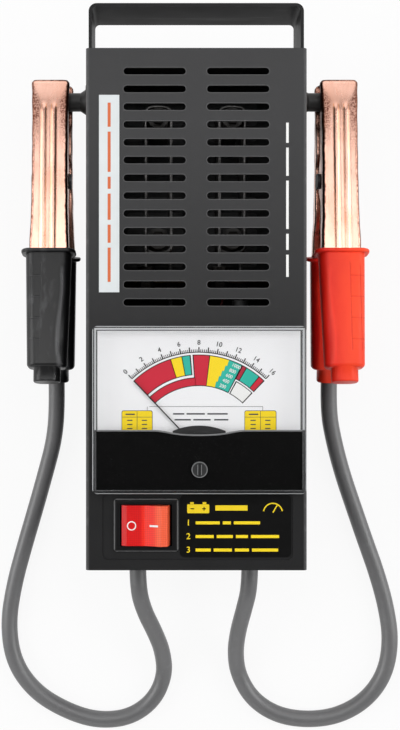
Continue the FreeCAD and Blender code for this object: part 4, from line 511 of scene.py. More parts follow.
def flatBar(shape, x, y, z, wide, tall, turn=0):
    place = Matrix.Translation(spot(x, y, z)) @ Matrix.Rotation(math.radians(turn), 4, "Z")
    place = place @ Matrix.Diagonal((wide / 2 * mm, tall / 2 * mm, 1, 1))
    bmesh.ops.create_grid(shape, x_segments=1, y_segments=1, size=1, matrix=place)


def flatBars(shape, bars, x, y, z):  # each bar: across, up, wide, tall
    for across, up, wide, tall in bars:
        flatBar(shape, x + across, y + up, z, wide, tall)


def flatSector(shape, pivot, z, inner, outer, start, end):  # degrees clockwise from straight up
    lean = math.radians(start)
    ends = [shape.verts.new(spot(pivot[0] + reach * math.sin(lean), pivot[1] + reach * math.cos(lean), z))
            for reach in (inner, outer)]
    edge = shape.edges.new(ends)
    bmesh.ops.spin(shape, geom=ends + [edge], cent=spot(*pivot, z), axis=(0, 0, -1),
                   angle=math.radians(end - start), steps=max(3, int(abs(end - start) / 1.5)),
                   use_merge=end - start == 360)
    faceUp(shape)


def faceUp(shape):
    shape.normal_update()
    under = [face for face in shape.faces if face.normal.z < 0]
    bmesh.ops.reverse_faces(shape, faces=under)


def flatPanel(shape, x0, y0, x1, y1, z, radius):  # a rounded flat panel
    place = Matrix.Translation(spot((x0 + x1) / 2, (y0 + y1) / 2, z))
    place = place @ Matrix.Diagonal(((x1 - x0) / 2 * mm, (y1 - y0) / 2 * mm, 1, 1))
    made = bmesh.ops.create_grid(shape, x_segments=1, y_segments=1, size=1, matrix=place)
    bmesh.ops.bevel(shape, geom=made["verts"], offset=radius * mm, affect="VERTICES", segments=5,
                    profile=0.5, material=-1)


def words(shape, text, x, y, z, size, turn=0):
    font = bpy.data.curves.new("words", "FONT")
    font.body = text
    font.size = size * mm
    font.align_x, font.align_y = "CENTER", "CENTER"
    made = bpy.data.objects.new("words", font)
    bpy.context.scene.collection.objects.link(made)
    mesh = meshOf(made)
    mesh.transform(Matrix.Translation(spot(x, y, z)) @ Matrix.Rotation(math.radians(turn), 4, "Z"))
    for slip in (-0.012, 0.024):  # printed twice, a hair apart, for a bolder figure
        mesh.transform(Matrix.Translation((slip * size * mm, slip * size * mm, slip * 0.1 * mm)))
        shape.from_mesh(mesh)
    bpy.data.meshes.remove(mesh)


# test leads, grommet to clamp

leads = {
    "radius": 4.5,
    "leadLeft": [
        (-30, -144.25, 32), (-30, -158, 32), (-26.9, -171.5, 26.5), (-21, -185, 18), (-16.7, -197.5, 10),
        (-15.2, -212, 5.2), (-21.4, -226.5, 4.6), (-35, -236.2, 4.6), (-53, -237.9, 4.6),
        (-70.5, -232.4, 4.6), (-87.9, -222, 4.6), (-99.9, -205.6, 4.6), (-103.2, -183.8, 4.6),
        (-99.7, -161.4, 4.6), (-93.9, -140.1, 4.6), (-87.8, -119.4, 4.6), (-82.3, -99.8, 4.8),
        (-77.2, -81.5, 7.4), (-75.2, -64.05, 10.26), (-75.2, -48.1, 12.98)],
    "leadRight": [
        (30, -144.25, 32), (30, -158, 32), (27.2, -171.5, 26.5), (24.6, -185, 18), (23.6, -198.5, 10),
        (25.6, -212, 5.2), (33.5, -226, 4.6), (47.5, -235, 4.6), (64.7, -237.6, 4.6), (82, -235.2, 4.6),
        (97.6, -226.3, 4.6), (108, -211.8, 4.6), (111.2, -193.2, 4.6), (108.6, -174.5, 4.6),
        (103.4, -155.6, 4.6), (96.8, -137.2, 4.6), (90.3, -118.3, 4.6), (84, -99.8, 4.8),
        (78.8, -81.5, 7.4), (75.2, -64.05, 10.26), (75.2, -48.1, 12.98)],
    "tailLeft": [(-30, -144.25, 32), (-30, -133, 32), (-30, -121.9, 32)],
    "tailRight": [
        (30, -144.25, 32), (30, -104.25, 32), (28, -66.25, 26), (25.5, -34, 24), (25.5, -4, 24)],
}
tailLeft, tailRight, leadLeft, leadRight = (
    strand(name, leads[name], leads["radius"], leadRubber, "case")
    for name in ("tailLeft", "tailRight", "leadLeft", "leadRight"))
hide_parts("lead_tail_left")
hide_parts("lead_tail_right")
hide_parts("lead_left")
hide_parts("lead_right")
spot(-30, -144.25, 32)
spot(30, -144.25, 32)
print("leads laid")

# wires inside the case

wires = {
    "switchWire": {
        "node": "switch_wire", "radius": 1.5, "finish": wireBlack, "slot": "black_rubber", "route": [
            (-18, -118.75, 29.5), (-18, -118.75, 18.5), (-18, -105.75, 13.5), (-18, -80.75, 12.5),
            (-14.5, -58, 24), (-12.5, -30, 24), (-12.5, -4, 24)]},
    "meterWireRight": {
        "node": "meter_wire_right", "radius": 0.8, "finish": wireRed, "slot": "red_rubber", "route": [
            (13.1, -59.25, 34), (13.1, -59.25, 24), (13.1, -45.25, 19), (13.1, -25.25, 20),
            (14.9, -10, 24), (15.9, -1, 24), (22.9, -1, 24)]},
    "meterWireLeft": {
        "node": "meter_wire_left", "radius": 0.8, "finish": wireBlack, "slot": "black_rubber", "route": [
            (-10.9, -59.25, 34), (-10.9, -59.25, 24), (-12.9, -72.25, 19), (-17.6, -92.25, 22),
            (-22.6, -108.25, 32), (-24.6, -117.75, 41), (-31.6, -117.75, 41)]},
}
for name, wire in wires.items():
    made = strand(name, wire["route"], wire["radius"], wire["finish"], "case", 3)
    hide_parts(wire["node"])

# heating coils, wound long and narrow

coils = {"middle": 19, "turn": 6.5, "first": 25.5, "last": 87.1, "low": 24, "pitch": 6, "halves": 11,
         "tail": 11, "ease": 4, "wire": 1}


def heatCoil(name, node, side):
    middle, turn = side * coils["middle"], coils["turn"]
    run = coils["last"] - coils["first"]
    slope = coils["pitch"] / (2 * run + 2 * math.pi * turn)
    z = coils["low"]
    route = [(middle + turn, coils["tail"], z), (middle + turn, coils["first"] - coils["ease"], z)]
    for half in range(coils["halves"]):
        way = 1 if half % 2 == 0 else -1
        near, far = (coils["first"], coils["last"]) if way > 0 else (coils["last"], coils["first"])
        route.append((middle + way * turn, near, z))
        z += slope * run
        for across, beyond in ((way, 0), (way, way), (-way, way)):  # round the end
            route.append((middle + across * turn, far + beyond * turn, z))
            z += slope * math.pi * turn / 3
    route += [(middle - turn, coils[place], z) for place in ("last", "first", "tail")]
    made = strand(name, route, coils["wire"], heatWire, "case", 2)
    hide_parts(node)


heatCoil("heatCoilLeft", "load_coil_left", -1)
heatCoil("heatCoilRight", "load_coil_right", 1)

# hairspring of the meter

spiral = {"x": 1.1, "y": -80.95, "z": 75.6, "start": 0.9, "end": 3.2, "turns": 2.5, "wire": 0.2,
          "steps": 12}
route = []
for step in range(int(spiral["turns"] * spiral["steps"]) + 1):
    share = step / (spiral["turns"] * spiral["steps"])
    reach = spiral["start"] + (spiral["end"] - spiral["start"]) * share
    turned = 2 * math.pi * spiral["turns"] * share - math.pi / 2
    x, y = spiral["x"] + reach * math.cos(turned), spiral["y"] + reach * math.sin(turned)
    route.append((x, y, spiral["z"]))
hairspring = strand("hairspring", route, spiral["wire"], springSteel, "case", 2)
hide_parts("hairspring")

# return leaf of the switch: its foot on the floor, its top under the rocker

leaf = {"x0": -26.6, "x1": -16.4, "y": -112.15, "wide": 5, "floor": 53.75, "top": 72.0, "thick": 0.5,
        "fold": 1.4, "foot": 1.5, "tip": 1.0, "bendFrom": 60, "bendTo": 72}
shape = bmesh.new()
chain = [shape.verts.new(spot(x, leaf["y"] - leaf["wide"] / 2, z)) for x, z in (
    (leaf["x0"], leaf["floor"]), (leaf["x1"] - leaf["foot"], leaf["floor"]),
    (leaf["x1"], leaf["floor"] + leaf["foot"]), (leaf["x1"], (leaf["floor"] + leaf["top"]) / 2),
    (leaf["x1"], leaf["top"] - leaf["tip"]), (leaf["x1"] - leaf["fold"], leaf["top"]))]
edges = [shape.edges.new(pair) for pair in zip(chain, chain[1:])]
made = bmesh.ops.extrude_edge_only(shape, edges=edges)
bmesh.ops.translate(shape, vec=(0, leaf["wide"] * mm, 0),
                    verts=[vert for vert in made["geom"] if isinstance(vert, bmesh.types.BMVert)])
bmesh.ops.recalc_face_normals(shape, faces=shape.faces[:])
bmesh.ops.solidify(shape, geom=shape.faces[:], thickness=leaf["thick"] * mm)
returnLeaf = solid("returnLeaf", shape, springSteel, None, False)
spot(leaf["x1"], leaf["y"], leaf["bendFrom"])
spot(leaf["x1"], leaf["y"], leaf["bendTo"])
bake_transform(returnLeaf)
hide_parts("return_leaf")

# clamp springs, one leg under each handle

spring = {"radius": 4.6, "wide": 11, "turns": 4, "leg": 26, "seat": 14.36, "wire": 0.8, "steps": 12,
          "give": 3}


def clampSpring(name, node, side):
    x, y, z = side * clamps["out"], clamps["y"], clamps["z"]
    far = math.hypot(spring["leg"], spring["seat"])
    lean = math.atan2(spring["seat"], spring["leg"]) - math.asin(spring["radius"] / far)
    swept = math.pi - 2 * lean + 2 * math.pi * spring["turns"]
    count = int(swept / (2 * math.pi) * spring["steps"])
    reach = spring["radius"] / math.cos(swept / count / 2)
    half = spring["wide"] / 2
    route = [(x - half, y - spring["leg"], z - spring["seat"])]
    for step in range(count + 1):
        turned = lean - math.pi / 2 + swept * step / count
        across = x - half + spring["wide"] * step / count
        route.append((across, y + reach * math.cos(turned), z + reach * math.sin(turned)))
    route.append((x + half, y - spring["leg"], z + spring["seat"]))
    mesh = meshOf(strand(name, route, spring["wire"], springSteel, sides=2))
    made = piece(name, mesh, springSteel, None)
    spot(x, y, z - spring["give"])
    spot(x, y, z + spring["give"])
    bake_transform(made)
    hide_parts(node)


clampSpring("leftSpring", "left_clamp_spring", -1)
clampSpring("rightSpring", "right_clamp_spring", 1)
print("wires, coils and springs wound")

# pressed faces of the clamps: rolled edges, two beads and a flared tip with round corners

jawFace = {"roll": 1.5, "fold": 1.0, "lip": 3.0, "tip": 51.95, "heel": -38.2, "lift": 0.4, "corner": 2.4,
           "beadOut": 2.6, "beadShift": 0.5, "beadWide": 1.2, "beadHigh": 0.95, "beadTip": 39.5,
           "beadFade": 4.0, "crease": 6.0, "ripple": 0.06, "rippleRate": 0.45, "across": 60, "along": 84,
           "sheet": 0.4, "rim": 0.8, "rimFall": 1.5, "leastSkirt": 0.3,
           "front": {"inside": 8.9, "wider": 0}, "rear": {"inside": 7.3, "wider": 0.9}}
# along from the pin, with the height over it, half the width, and the height of the lower hem
jawBack = [(51.7, 8.0), (40.5, 11.0), (8.0, 13.5), (-42.0, 18.0)]
jawHalf = [(51.95, 9.95), (44, 9.5), (34, 9.2), (4, 9.2), (-14, 9.4), (-38.2, 10.1)]
jawHem = [(51.95, 6.0), (32, 6.0), (24, 3.4), (15, 3.4), (8, 7.2), (-8, 7.2), (-13, 6.8), (-38.2, 11.8)]


def follow(points, along):  # a smooth way from point to point
    for (far, first), (near, second) in zip(points, points[1:]):
        if along >= near:
            break
    share = min(max((far - along) / (far - near), 0), 1)
    return first + (second - first) * share * share * (3 - 2 * share)


def backHeight(along):
    spans = list(zip(jawBack, jawBack[1:]))
    for (far, high), (near, low) in spans:
        if along >= near:
            height = low + (high - low) * (along - near) / (far - near)
            break
    for ((far, high), (mid, crest)), (near, low) in zip(spans, jawBack[2:]):  # soft bends at the creases
        turn = (low - crest) / (mid - near) - (crest - high) / (far - mid)
        close = max(1 - abs(along - mid) / jawFace["crease"], 0)
        height += turn * jawFace["crease"] * close * close / 4
    return height


def clampFace(name, side, body, facing, fit):
    shape = bmesh.new()
    rim = shape.verts.layers.float.new("rim")
    bmesh.ops.create_grid(shape, x_segments=jawFace["across"], y_segments=jawFace["along"], size=1)
    roll, fold, corner = jawFace["roll"], jawFace["fold"], jawFace["corner"]
    turnIn = roll * math.pi / 2
    run = jawFace["tip"] - jawFace["heel"] + jawFace["lip"]
    for vert in shape.verts:
        hand = math.copysign(1, vert.co.x)
        gone = (1 - vert.co.y) / 2 * run - jawFace["lip"]  # below the fold's radius on the lip at the tip
        bend = min(max((fold - gone) / fold, 0), math.pi / 2)
        along = jawFace["tip"] - max(gone, fold) + fold * math.sin(bend)
        back = backHeight(along) + jawFace["lift"]
        height = back - fold * (1 - math.cos(bend)) - max(fold - turnIn / roll * fold - gone, 0)
        ripple = jawFace["ripple"] * math.sin(jawFace["rippleRate"] * along + 2 * side + hand)
        half = follow(jawHalf, along) + fit["wider"] + ripple
        near = min(max(along - jawFace["tip"] + corner, 0), corner)
        half -= corner - math.sqrt(corner * corner - near * near)
        flat, skirt = half - roll, max(back - roll - follow(jawHem, along), jawFace["leastSkirt"])
        path = abs(vert.co.x) * (flat + turnIn + skirt + half - fit["inside"])
        bend = min(max(path - flat, 0), turnIn) / roll
        down = min(max(path - flat - turnIn, 0), skirt)
        turned = max(path - flat - turnIn - skirt, 0)  # the hem, turned in to the channel
        out = min(path, flat) + roll * math.sin(bend) - turned
        height -= roll * (1 - math.cos(bend)) + down
        edge = max((path - flat + jawFace["rim"]) / (turnIn + jawFace["rim"]), (fold - gone) / fold, 0)
        vert[rim] = min(edge, 1) - 0.7 * min(down / jawFace["rimFall"], 1)
        fade = min(max((jawFace["beadTip"] - along) / jawFace["beadFade"], 0), 1)
        place = hand * side * out - jawFace["beadShift"]
        bead = math.exp(-((abs(place) - jawFace["beadOut"]) / jawFace["beadWide"]) ** 2)
        if down == 0:
            height += jawFace["beadHigh"] * bead * fade * fade * (3 - 2 * fade)
        x, y, z = side * clamps["out"] + hand * out, clamps["y"] + along, clamps["z"] + facing * height
        vert.co = spot(x, y, z)
    shape.normal_update()
    if sum(face.normal.z for face in shape.faces) * facing < 0:
        bmesh.ops.reverse_faces(shape, faces=shape.faces[:])
    thick = solid(name, shape, jawCopper, body).modifiers.new("thick", "SOLIDIFY")
    thick.thickness = jawFace["sheet"] * mm
    thick.offset = -1


for name, side in (("left", -1), ("right", 1)):
    clampFace(name + "FrontFace", side, name + "_jaw", 1, jawFace["front"])
    clampFace(name + "RearFace", side, "case", -1, jawFace["rear"])
print("clamp faces pressed")

# moulded sleeves of the clamps

def sleeveLift(out, y, high):
    middle = sleeve["sway"] * math.cos((y - sleeve["swayMiddle"]) * sleeve["swayRate"]) - sleeve["ridge"]
    ends = min((sleeve["ridgeFrom"] - y) / sleeve["fade"], (y - sleeve["ridgeTo"]) / sleeve["fade"], 1)
    ends = max(ends, 0)
    lift = high * ends * math.exp(-((out - middle) / sleeve["ridgeWide"]) ** 2)
    tiny = sleeve["line"] / 5  # points on a groove's own cut lie this near it
    onRow = out > sleeve["columns"][0] - tiny and any(abs(y - row) < tiny for row in sleeve["rows"])
    onColumn = any(abs(out - column) < tiny for column in sleeve["columns"])
    if (onRow or onColumn) and sleeve["last"] < y < sleeve["first"]:
        lift -= sleeve["deep"]
    return lift


def clampSleeve(name, node, side, body, facing, finish):
    shape = bmesh.new()
    shape.from_mesh(nodes[node].data)
    bmesh.ops.remove_doubles(shape, verts=shape.verts[:], dist=1e-6)
    lean = math.radians(sleeve["slope"])
    up = Vector((0, math.sin(lean), facing * math.cos(lean)))
    start = spot(side * clamps["out"], sleeve["y"], clamps["z"] + facing * sleeve["rise"])
    lines = (-sleeve["margin"], -sleeve["line"], 0, sleeve["line"], sleeve["margin"])
    across = [column + line for column in sleeve["columns"] for line in lines]
    cuts = sleeve["ridgeCuts"]
    across += [-sleeve["ridge"] + step * sleeve["ridgeCut"] for step in range(-cuts, cuts + 1)]
    along = [row + line for row in sleeve["rows"] for line in lines]
    along += [sleeve["ridgeFrom"] - sleeve["alongCut"] * step for step in range(sleeve["alongCuts"])]
    along += [end + line for end in (sleeve["first"], sleeve["last"]) for line in lines]
    along += sleeve["underLip"]
    planes = [(spot(side * (clamps["out"] + out), 0, 0), (1, 0, 0)) for out in across]
    planes += [(spot(0, y, 0), (0, 1, 0)) for y in along]
    for place, normal in planes:
        outer = [face for face in shape.faces
                 if (face.calc_center_median() - start).dot(up) > sleeve["cut"] * mm]
        edges = {edge for face in outer for edge in face.edges}
        verts = {vert for face in outer for vert in face.verts}
        bmesh.ops.bisect_plane(shape, geom=[*verts, *edges, *outer], dist=1e-7, plane_co=place,
                               plane_no=normal)
    shape.normal_update()
    lifts = []
    for vert in shape.verts:
        if (vert.co - start).dot(up) > sleeve["face"] * mm:
            out, y = side * vert.co.x / mm - clamps["out"], vert.co.y / mm
            lift = sleeveLift(out, y, sleeve["ridgeHigh"][side])
            lifts.append((vert, lift * max(vert.normal.dot(up), 0) * mm))
    for vert, lift in lifts:
        vert.co += up * lift
    made = solid(name, shape, finish, body)
    made.data.set_sharp_from_angle(angle=math.radians(sleeve["sharp"]))
    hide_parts(node)


sleeves = (("left", -1, bootBlack, "black_rubber"), ("right", 1, bootRed, "red_rubber"))
for name, side, finish, slot in sleeves:
    clampSleeve(name + "FrontSleeve", name + "_clamp_front_boot", side, name + "_jaw", 1, finish)
    clampSleeve(name + "RearSleeve", name + "_clamp_rear_boot", side, "case", -1, finish)
print("clamp sleeves moulded")

# dial printing

dial = {"pivot": (1.1, -80.95), "top": 79.8, "radius": 48, "swing": 43.4, "volts": 16, "numbers": 52.7,
        "figure": 3.3, "arc": 0.22, "longTick": (2.5, 0.56), "shortTick": (1.4, 0.36), "perVolt": 5,
        "line": 0.42, "seam": 0.2}
ply = 0.03  # a coat of ink
layer = {"black": dial["top"] + ply, "colour": dial["top"] + 2 * ply, "mark": dial["top"] + 3 * ply}
bands = [  # inner and outer reach, start and end in degrees, ink
    (37.2, 46.4, -43.4, -17.5, inkRed), (37.2, 46.4, -17.5, -10.5, inkYellow),
    (37.2, 46.4, -10.5, -5.5, inkTeal), (31.7, 35.2, -43.4, -2.4, inkRed),
    (31.7, 46.4, -3.4, 6.6, inkRed), (31.7, 46.4, 6.6, 27.1, inkTeal),
    (39.5, 46.4, 27.6, 30.3, inkDarkRed), (39.5, 46.4, 30.3, 39.6, inkTeal),
    (39.5, 46.4, 39.6, 43.3, inkRed), (31.7, 38.0, 29.0, 43.0, inkWhite),
]
stepped = {"inner": 31.7, "high": 14.7, "rows": 5, "start": 6.9, "end": 14.3, "spread": 4.4}
figures = {"texts": ("200", "400", "600", "800", "1000"), "lean": 20.6, "leanStep": 0.9, "reach": 33.3,
           "reachStep": 2.9, "size": 2.3}


def onDial(reach, lean):
    lean = math.radians(lean)
    return dial["pivot"][0] + reach * math.sin(lean), dial["pivot"][1] + reach * math.cos(lean)


shape = bmesh.new()
inner, outer = dial["radius"] - dial["arc"], dial["radius"] + dial["arc"]
flatSector(shape, dial["pivot"], layer["mark"], inner, outer, -dial["swing"], dial["swing"])
ticks = dial["volts"] * dial["perVolt"]
for step in range(ticks + 1):
    lean = -dial["swing"] + 2 * dial["swing"] * step / ticks
    long, thick = dial["shortTick"] if step % dial["perVolt"] else dial["longTick"]
    flatBar(shape, *onDial(dial["radius"] + long / 2, lean), layer["mark"], thick, long, -lean)
line = dial["line"]
for inner, outer, start, end, colour in bands:
    spread = math.degrees(line / outer)
    flatSector(shape, dial["pivot"], layer["black"], inner - line, outer + line, start - spread,
               end + spread)
solid("dialScale", shape, inkBlack, "case", smooth=False)

for colour in (inkRed, inkDarkRed, inkYellow, inkTeal, inkWhite):
    shape = bmesh.new()
    for inner, outer, start, end, tone in bands:
        if tone == colour:
            trim = math.degrees(dial["seam"] / outer)
            flatSector(shape, dial["pivot"], layer["colour"], inner, outer, start + trim, end - trim)
    if colour == inkYellow:  # stepped edge towards the last band
        tall = stepped["high"] / stepped["rows"]
        for row in range(stepped["rows"]):
            low = stepped["inner"] + tall * row
            end = stepped["end"] + stepped["spread"] * row / (stepped["rows"] - 1)
            flatSector(shape, dial["pivot"], layer["mark"], low, low + tall, stepped["start"], end)
    solid("dial" + colour.name[3:], shape, colour, "case", smooth=False)

shape = bmesh.new()
for volt in range(0, dial["volts"] + 1, 2):
    lean = -dial["swing"] + 2 * dial["swing"] * volt / dial["volts"]
    words(shape, str(volt), *onDial(dial["numbers"], lean), layer["mark"], dial["figure"], -lean)
solid("dialNumbers", shape, inkBlack, "case", smooth=False)
shape = bmesh.new()
for row, figure in enumerate(figures["texts"]):
    lean = figures["lean"] + figures["leanStep"] * row
    place = onDial(figures["reach"] + figures["reachStep"] * row, lean)
    words(shape, figure, *place, layer["mark"] + ply, figures["size"], -lean)
solid("dialFigures", shape, inkWhite, "case", smooth=False)

# two small tables, a bracket over the pivot and two rows of dashes

tables = {"spans": ((-36.8, -22.0), (23.8, 39.1)), "low": -74, "high": -62, "corner": 0.9, "head": -65.0,
          "rule": 0.22, "frameLow": -74.2, "frameHigh": -61.7, "frameSide": 0.25, "frameCorner": 1.0}
tableBars = [(0, -68.0, 0.22, 12), (-3.4, -63.6, 4.6, 0.7)]
tableBars += [(across, y, 2.6, 0.55) for y in (-66.6, -68.6, -70.6) for across in (-3.6, 3.6)]
dialBars = [(4.6, -59.8, 56, 0.2), (-24.4, -60.9, 0.2, 2.2), (32.6, -60.9, 0.2, 2.2)]
dialBars += [(x, -63.4, wide, 0.75) for x, wide in ((-8.9, 5.5), (-0.5, 9), (10.3, 10))]
dialBars += [(x, -66.3, wide, 0.75) for x, wide in ((-6.9, 8), (2.6, 8.5), (12.1, 7))]
shape, marks = bmesh.new(), bmesh.new()
for left, right in tables["spans"]:
    flatPanel(marks, left - tables["frameSide"], tables["frameLow"], right + tables["frameSide"],
              tables["frameHigh"], layer["black"], tables["frameCorner"])
    flatPanel(shape, left, tables["low"], right, tables["high"], layer["colour"], tables["corner"])
    middle = (left + right) / 2
    flatBar(marks, middle, tables["head"], layer["mark"], right - left, tables["rule"])
    flatBars(marks, tableBars, middle, 0, layer["mark"])
flatBars(marks, dialBars, 0, 0, layer["mark"])
solid("dialTables", shape, inkYellow, "case", smooth=False)
solid("dialMarks", marks, inkGrey, "case", smooth=False)
print("dial printed")

# light rim along the top of the dark mask, with its scoop: a painted highlight on the step there

rim = {"left": -48.9, "right": 51.1, "y": -71.4, "z": 86.2, "scoop": 19.5, "ease": 6, "floor": 9,
       "dip": 2.2, "radius": 0.42}
x, low = dial["pivot"][0], rim["y"] - rim["dip"]
level = [rim["left"], x - rim["scoop"] - rim["ease"], x - rim["scoop"]]
beyond = [x + rim["scoop"], x + rim["scoop"] + rim["ease"], rim["right"]]
route = [(along, rim["y"], rim["z"]) for along in level]
route += [(x - rim["floor"], low, rim["z"]), (x + rim["floor"], low, rim["z"])]
route += [(along, rim["y"], rim["z"]) for along in beyond]
mesh = meshOf(strand("maskRim", route, rim["radius"], rimGrey, sides=3))
piece("maskRim", mesh, rimGrey, "case")

# painted highlights on the edge and the slot lips of the zero screw

zeroScrew = {"middle": (1.1, -90.15), "z": 89.53, "inner": 3.45, "outer": 3.85}
glintBars = ((-0.9, 0, 0.3, 5.0), (0.9, 0, 0.3, 5.0))
shape = bmesh.new()
flatSector(shape, zeroScrew["middle"], zeroScrew["z"], zeroScrew["inner"], zeroScrew["outer"], 0, 360)
flatBars(shape, glintBars, *zeroScrew["middle"], zeroScrew["z"])
solid("zeroScrewLips", shape, rimGrey, "zero_screw", False)

# marks on the rocker, in the rocker's own tilt

rockerMarks = {"x": -25, "y": -118.75, "z": 74.2, "tilt": -9, "valley": 4.6, "crest": 6.4, "reach": 8.7,
               "ring": -6.3, "ringInner": 1.75, "ringOuter": 2.3, "dash": 4.8, "dashLong": 4.4,
               "dashWide": 0.95, "proud": 0.04}
tilt = Matrix.Translation(spot(rockerMarks["x"], rockerMarks["y"], rockerMarks["z"]))
tilt = tilt @ Matrix.Rotation(math.radians(rockerMarks["tilt"]), 4, "Y")
rise = (rockerMarks["crest"] - rockerMarks["valley"]) / rockerMarks["reach"]
shape = bmesh.new()
for across, way in ((rockerMarks["ring"], 1), (rockerMarks["dash"], -1)):
    mark = bmesh.new()
    if way > 0:
        flatSector(mark, (0, 0), 0, rockerMarks["ringInner"], rockerMarks["ringOuter"], 0, 360)
    else:
        flatBar(mark, 0, 0, 0, rockerMarks["dashLong"], rockerMarks["dashWide"])
    height = rockerMarks["valley"] + abs(across) * rise + rockerMarks["proud"]
    place = tilt @ Matrix.Translation(spot(across, 0, height))
    place = place @ Matrix.Rotation(way * math.atan(rise), 4, "Y")
    bmesh.ops.transform(mark, matrix=place, verts=mark.verts[:])
    mesh = bpy.data.meshes.new("mark")
    mark.to_mesh(mesh)
    mark.free()
    shape.from_mesh(mesh)
    bpy.data.meshes.remove(mesh)
solid("rockerMarks", shape, inkWhite, "rocker", False)

# plain signs on the black plate: a cell, a gauge and three numbered rows

plate = {"z": 75.8, "left": -4.6, "head": -110.3, "rows": (-117.7, -124.5, -131.2), "number": 4.2,
         "numberIn": 0.6, "barsIn": 4.2, "bar": 1.5, "cell": (-4.6, -112.9, 6.4, -108.5), "corner": 0.5}
gauge = {"middle": (38.0, -112.7), "inner": 4.4, "outer": 5.0, "swing": 80, "pointer": (39.1, -110.7),
         "wide": 0.6, "long": 4.4, "lean": -30}
rowBars = (((0, 12), (13.5, 4), (19, 13)), ((0, 9), (10.5, 8), (20, 6), (27.5, 14)),
           ((0, 7.5), (9, 9), (19.5, 7), (28, 13)))
headBars = ((2.4, 2.4, 1.8, 1.0), (8.6, 2.4, 1.8, 1.0), (22, 0, 16, 2.6))
cellBars = ((2.6, -0.4, 1.8, 0.5), (8.4, -0.4, 1.8, 0.5), (8.4, -0.4, 0.5, 1.8))
shape = bmesh.new()
for number, (y, bars) in enumerate(zip(plate["rows"], rowBars), start=1):
    words(shape, str(number), plate["left"] + plate["numberIn"], y, plate["z"], plate["number"])
    for start, wide in bars:
        x = plate["left"] + plate["barsIn"] + start + wide / 2
        flatBar(shape, x, y, plate["z"], wide, plate["bar"])
flatPanel(shape, *plate["cell"], plate["z"], plate["corner"])
flatBars(shape, headBars, plate["left"], plate["head"], plate["z"])
flatSector(shape, gauge["middle"], plate["z"], gauge["inner"], gauge["outer"], -gauge["swing"],
           gauge["swing"])
flatBar(shape, *gauge["pointer"], plate["z"], gauge["wide"], gauge["long"], gauge["lean"])
solid("plateSigns", shape, inkYellow, "case", False)
shape = bmesh.new()
flatBars(shape, cellBars, plate["left"], plate["head"], plate["z"] + ply)
solid("cellSigns", shape, filmBlack, "case", False)

# plain broken rules: one on the white strip, one printed on the paint beside the slots

rules = {
    "strip": {"x": -43.35, "z": 76.28, "wide": 1.5, "finish": inkOrange, "slot": "white_film", "low": 2.0,
              "gap": 2.4, "runs": (17, 9, 13, 6, 20, 12)},
    "panel": {"x": 45.2, "z": 76.03, "wide": 1.3, "finish": inkWhite, "slot": "case_paint", "low": 4.5,
              "gap": 2.4, "runs": (11, 8, 24, 14, 10)},
}
for name, rule in rules.items():
    shape = bmesh.new()
    y = rule["low"]
    for run in rule["runs"]:
        flatBar(shape, rule["x"], y + run / 2, rule["z"], rule["wide"], run)
        y += run + rule["gap"]
    solid(name + "Rule", shape, rule["finish"], "case", False)
print("printing done")

# floor, light and camera

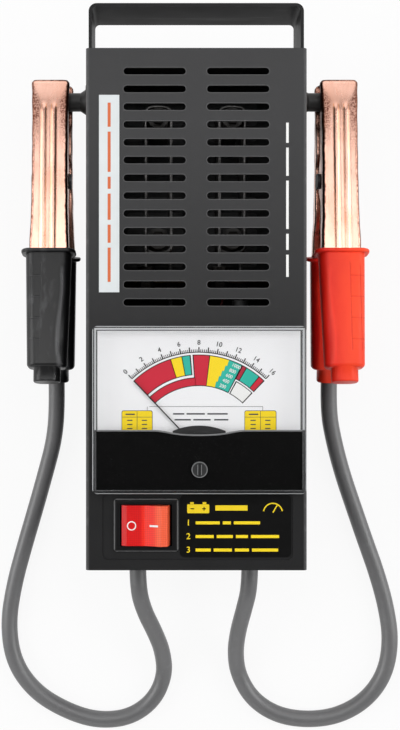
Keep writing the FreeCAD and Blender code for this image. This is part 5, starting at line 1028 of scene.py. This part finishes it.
stageWhite = Finish("stageWhite", Base_Color=(0.86, 0.86, 0.86, 1), Roughness=0.9)
seen = stageWhite.node("ShaderNodeLightPath", {}, {}, "Is Camera Ray")
mirrored = stageWhite.node("ShaderNodeLightPath", {}, {}, "Is Glossy Ray")
through = stageWhite.node("ShaderNodeLightPath", {}, {}, "Is Transmission Ray")
glow = stageWhite.node("ShaderNodeEmission", {}, {"Color": (1, 1, 1, 1), "Strength": 1.0})
lit = Value(stageWhite, stageWhite.shader.outputs[0])
share = 0.9 * (seen + mirrored + through)
white = stageWhite.node("ShaderNodeMixShader", {}, {0: share, 1: lit, 2: glow})
stageWhite.tree.links.new(white.socket, stageWhite.tree.nodes["Material Output"].inputs["Surface"])
shape = bmesh.new()
bmesh.ops.create_grid(shape, x_segments=1, y_segments=1, size=5)
solid("floor", shape, stageWhite.material, None)
shape = bmesh.new()
bmesh.ops.create_cone(shape, cap_ends=False, segments=64, radius1=4, radius2=4, depth=3.4)
bmesh.ops.translate(shape, verts=shape.verts[:], vec=(0, 0, 1.6))
solid("backdrop", shape, stageWhite.material, None)

world = bpy.data.worlds.new("studio")
bpy.context.scene.world = world
world.use_nodes = True
world.node_tree.nodes["Background"].inputs["Color"].default_value = (1, 1, 1, 1)
world.node_tree.nodes["Background"].inputs["Strength"].default_value = 0.22

lamps = {
    "keyLamp": {"place": (0.0, 0.28, 1.1), "aim": (0, 0.05, 0.05), "size": (1.2, 0.36), "power": 3.6},
    "backLamp": {"place": (0.0, 1.1, 1.0), "aim": (0, 0.08, 0.05), "size": (1.3, 0.7), "power": 3.2},
    "leftLamp": {"place": (-1.2, 0.05, 0.85), "aim": (-0.05, 0, 0.04), "size": (1.0, 1.0), "power": 10.0},
    "rightLamp": {"place": (1.2, 0.05, 0.85), "aim": (0.05, 0, 0.04), "size": (1.0, 1.0), "power": 10.0},
    "footLamp": {"place": (0.0, -1.2, 0.7), "aim": (0, -0.1, 0.04), "size": (1.2, 0.6), "power": 1.2},
}
for name, lamp in lamps.items():
    light = bpy.data.lights.new(name, "AREA")
    light.energy = lamp["power"]
    light.shape = "RECTANGLE"
    light.size, light.size_y = lamp["size"]
    made = bpy.data.objects.new(name, light)
    made.location = lamp["place"]
    ahead = Vector(lamp["aim"]) - Vector(lamp["place"])
    made.rotation_euler = ahead.to_track_quat("-Z", "Y").to_euler()
    bpy.context.scene.collection.objects.link(made)

view = {"place": (-0.0181, -0.04275, 0.636), "lens": 55.6, "shiftX": 0.0548, "shiftY": 0.0096}
camera = bpy.data.objects.new("camera", bpy.data.cameras.new("camera"))
camera.location = view["place"]
camera.data.lens = view["lens"]
camera.data.shift_x, camera.data.shift_y = view["shiftX"], view["shiftY"]
bpy.context.scene.collection.objects.link(camera)
bpy.context.scene.camera = camera
bpy.context.scene.view_settings.view_transform = "Standard"
print("stage set")
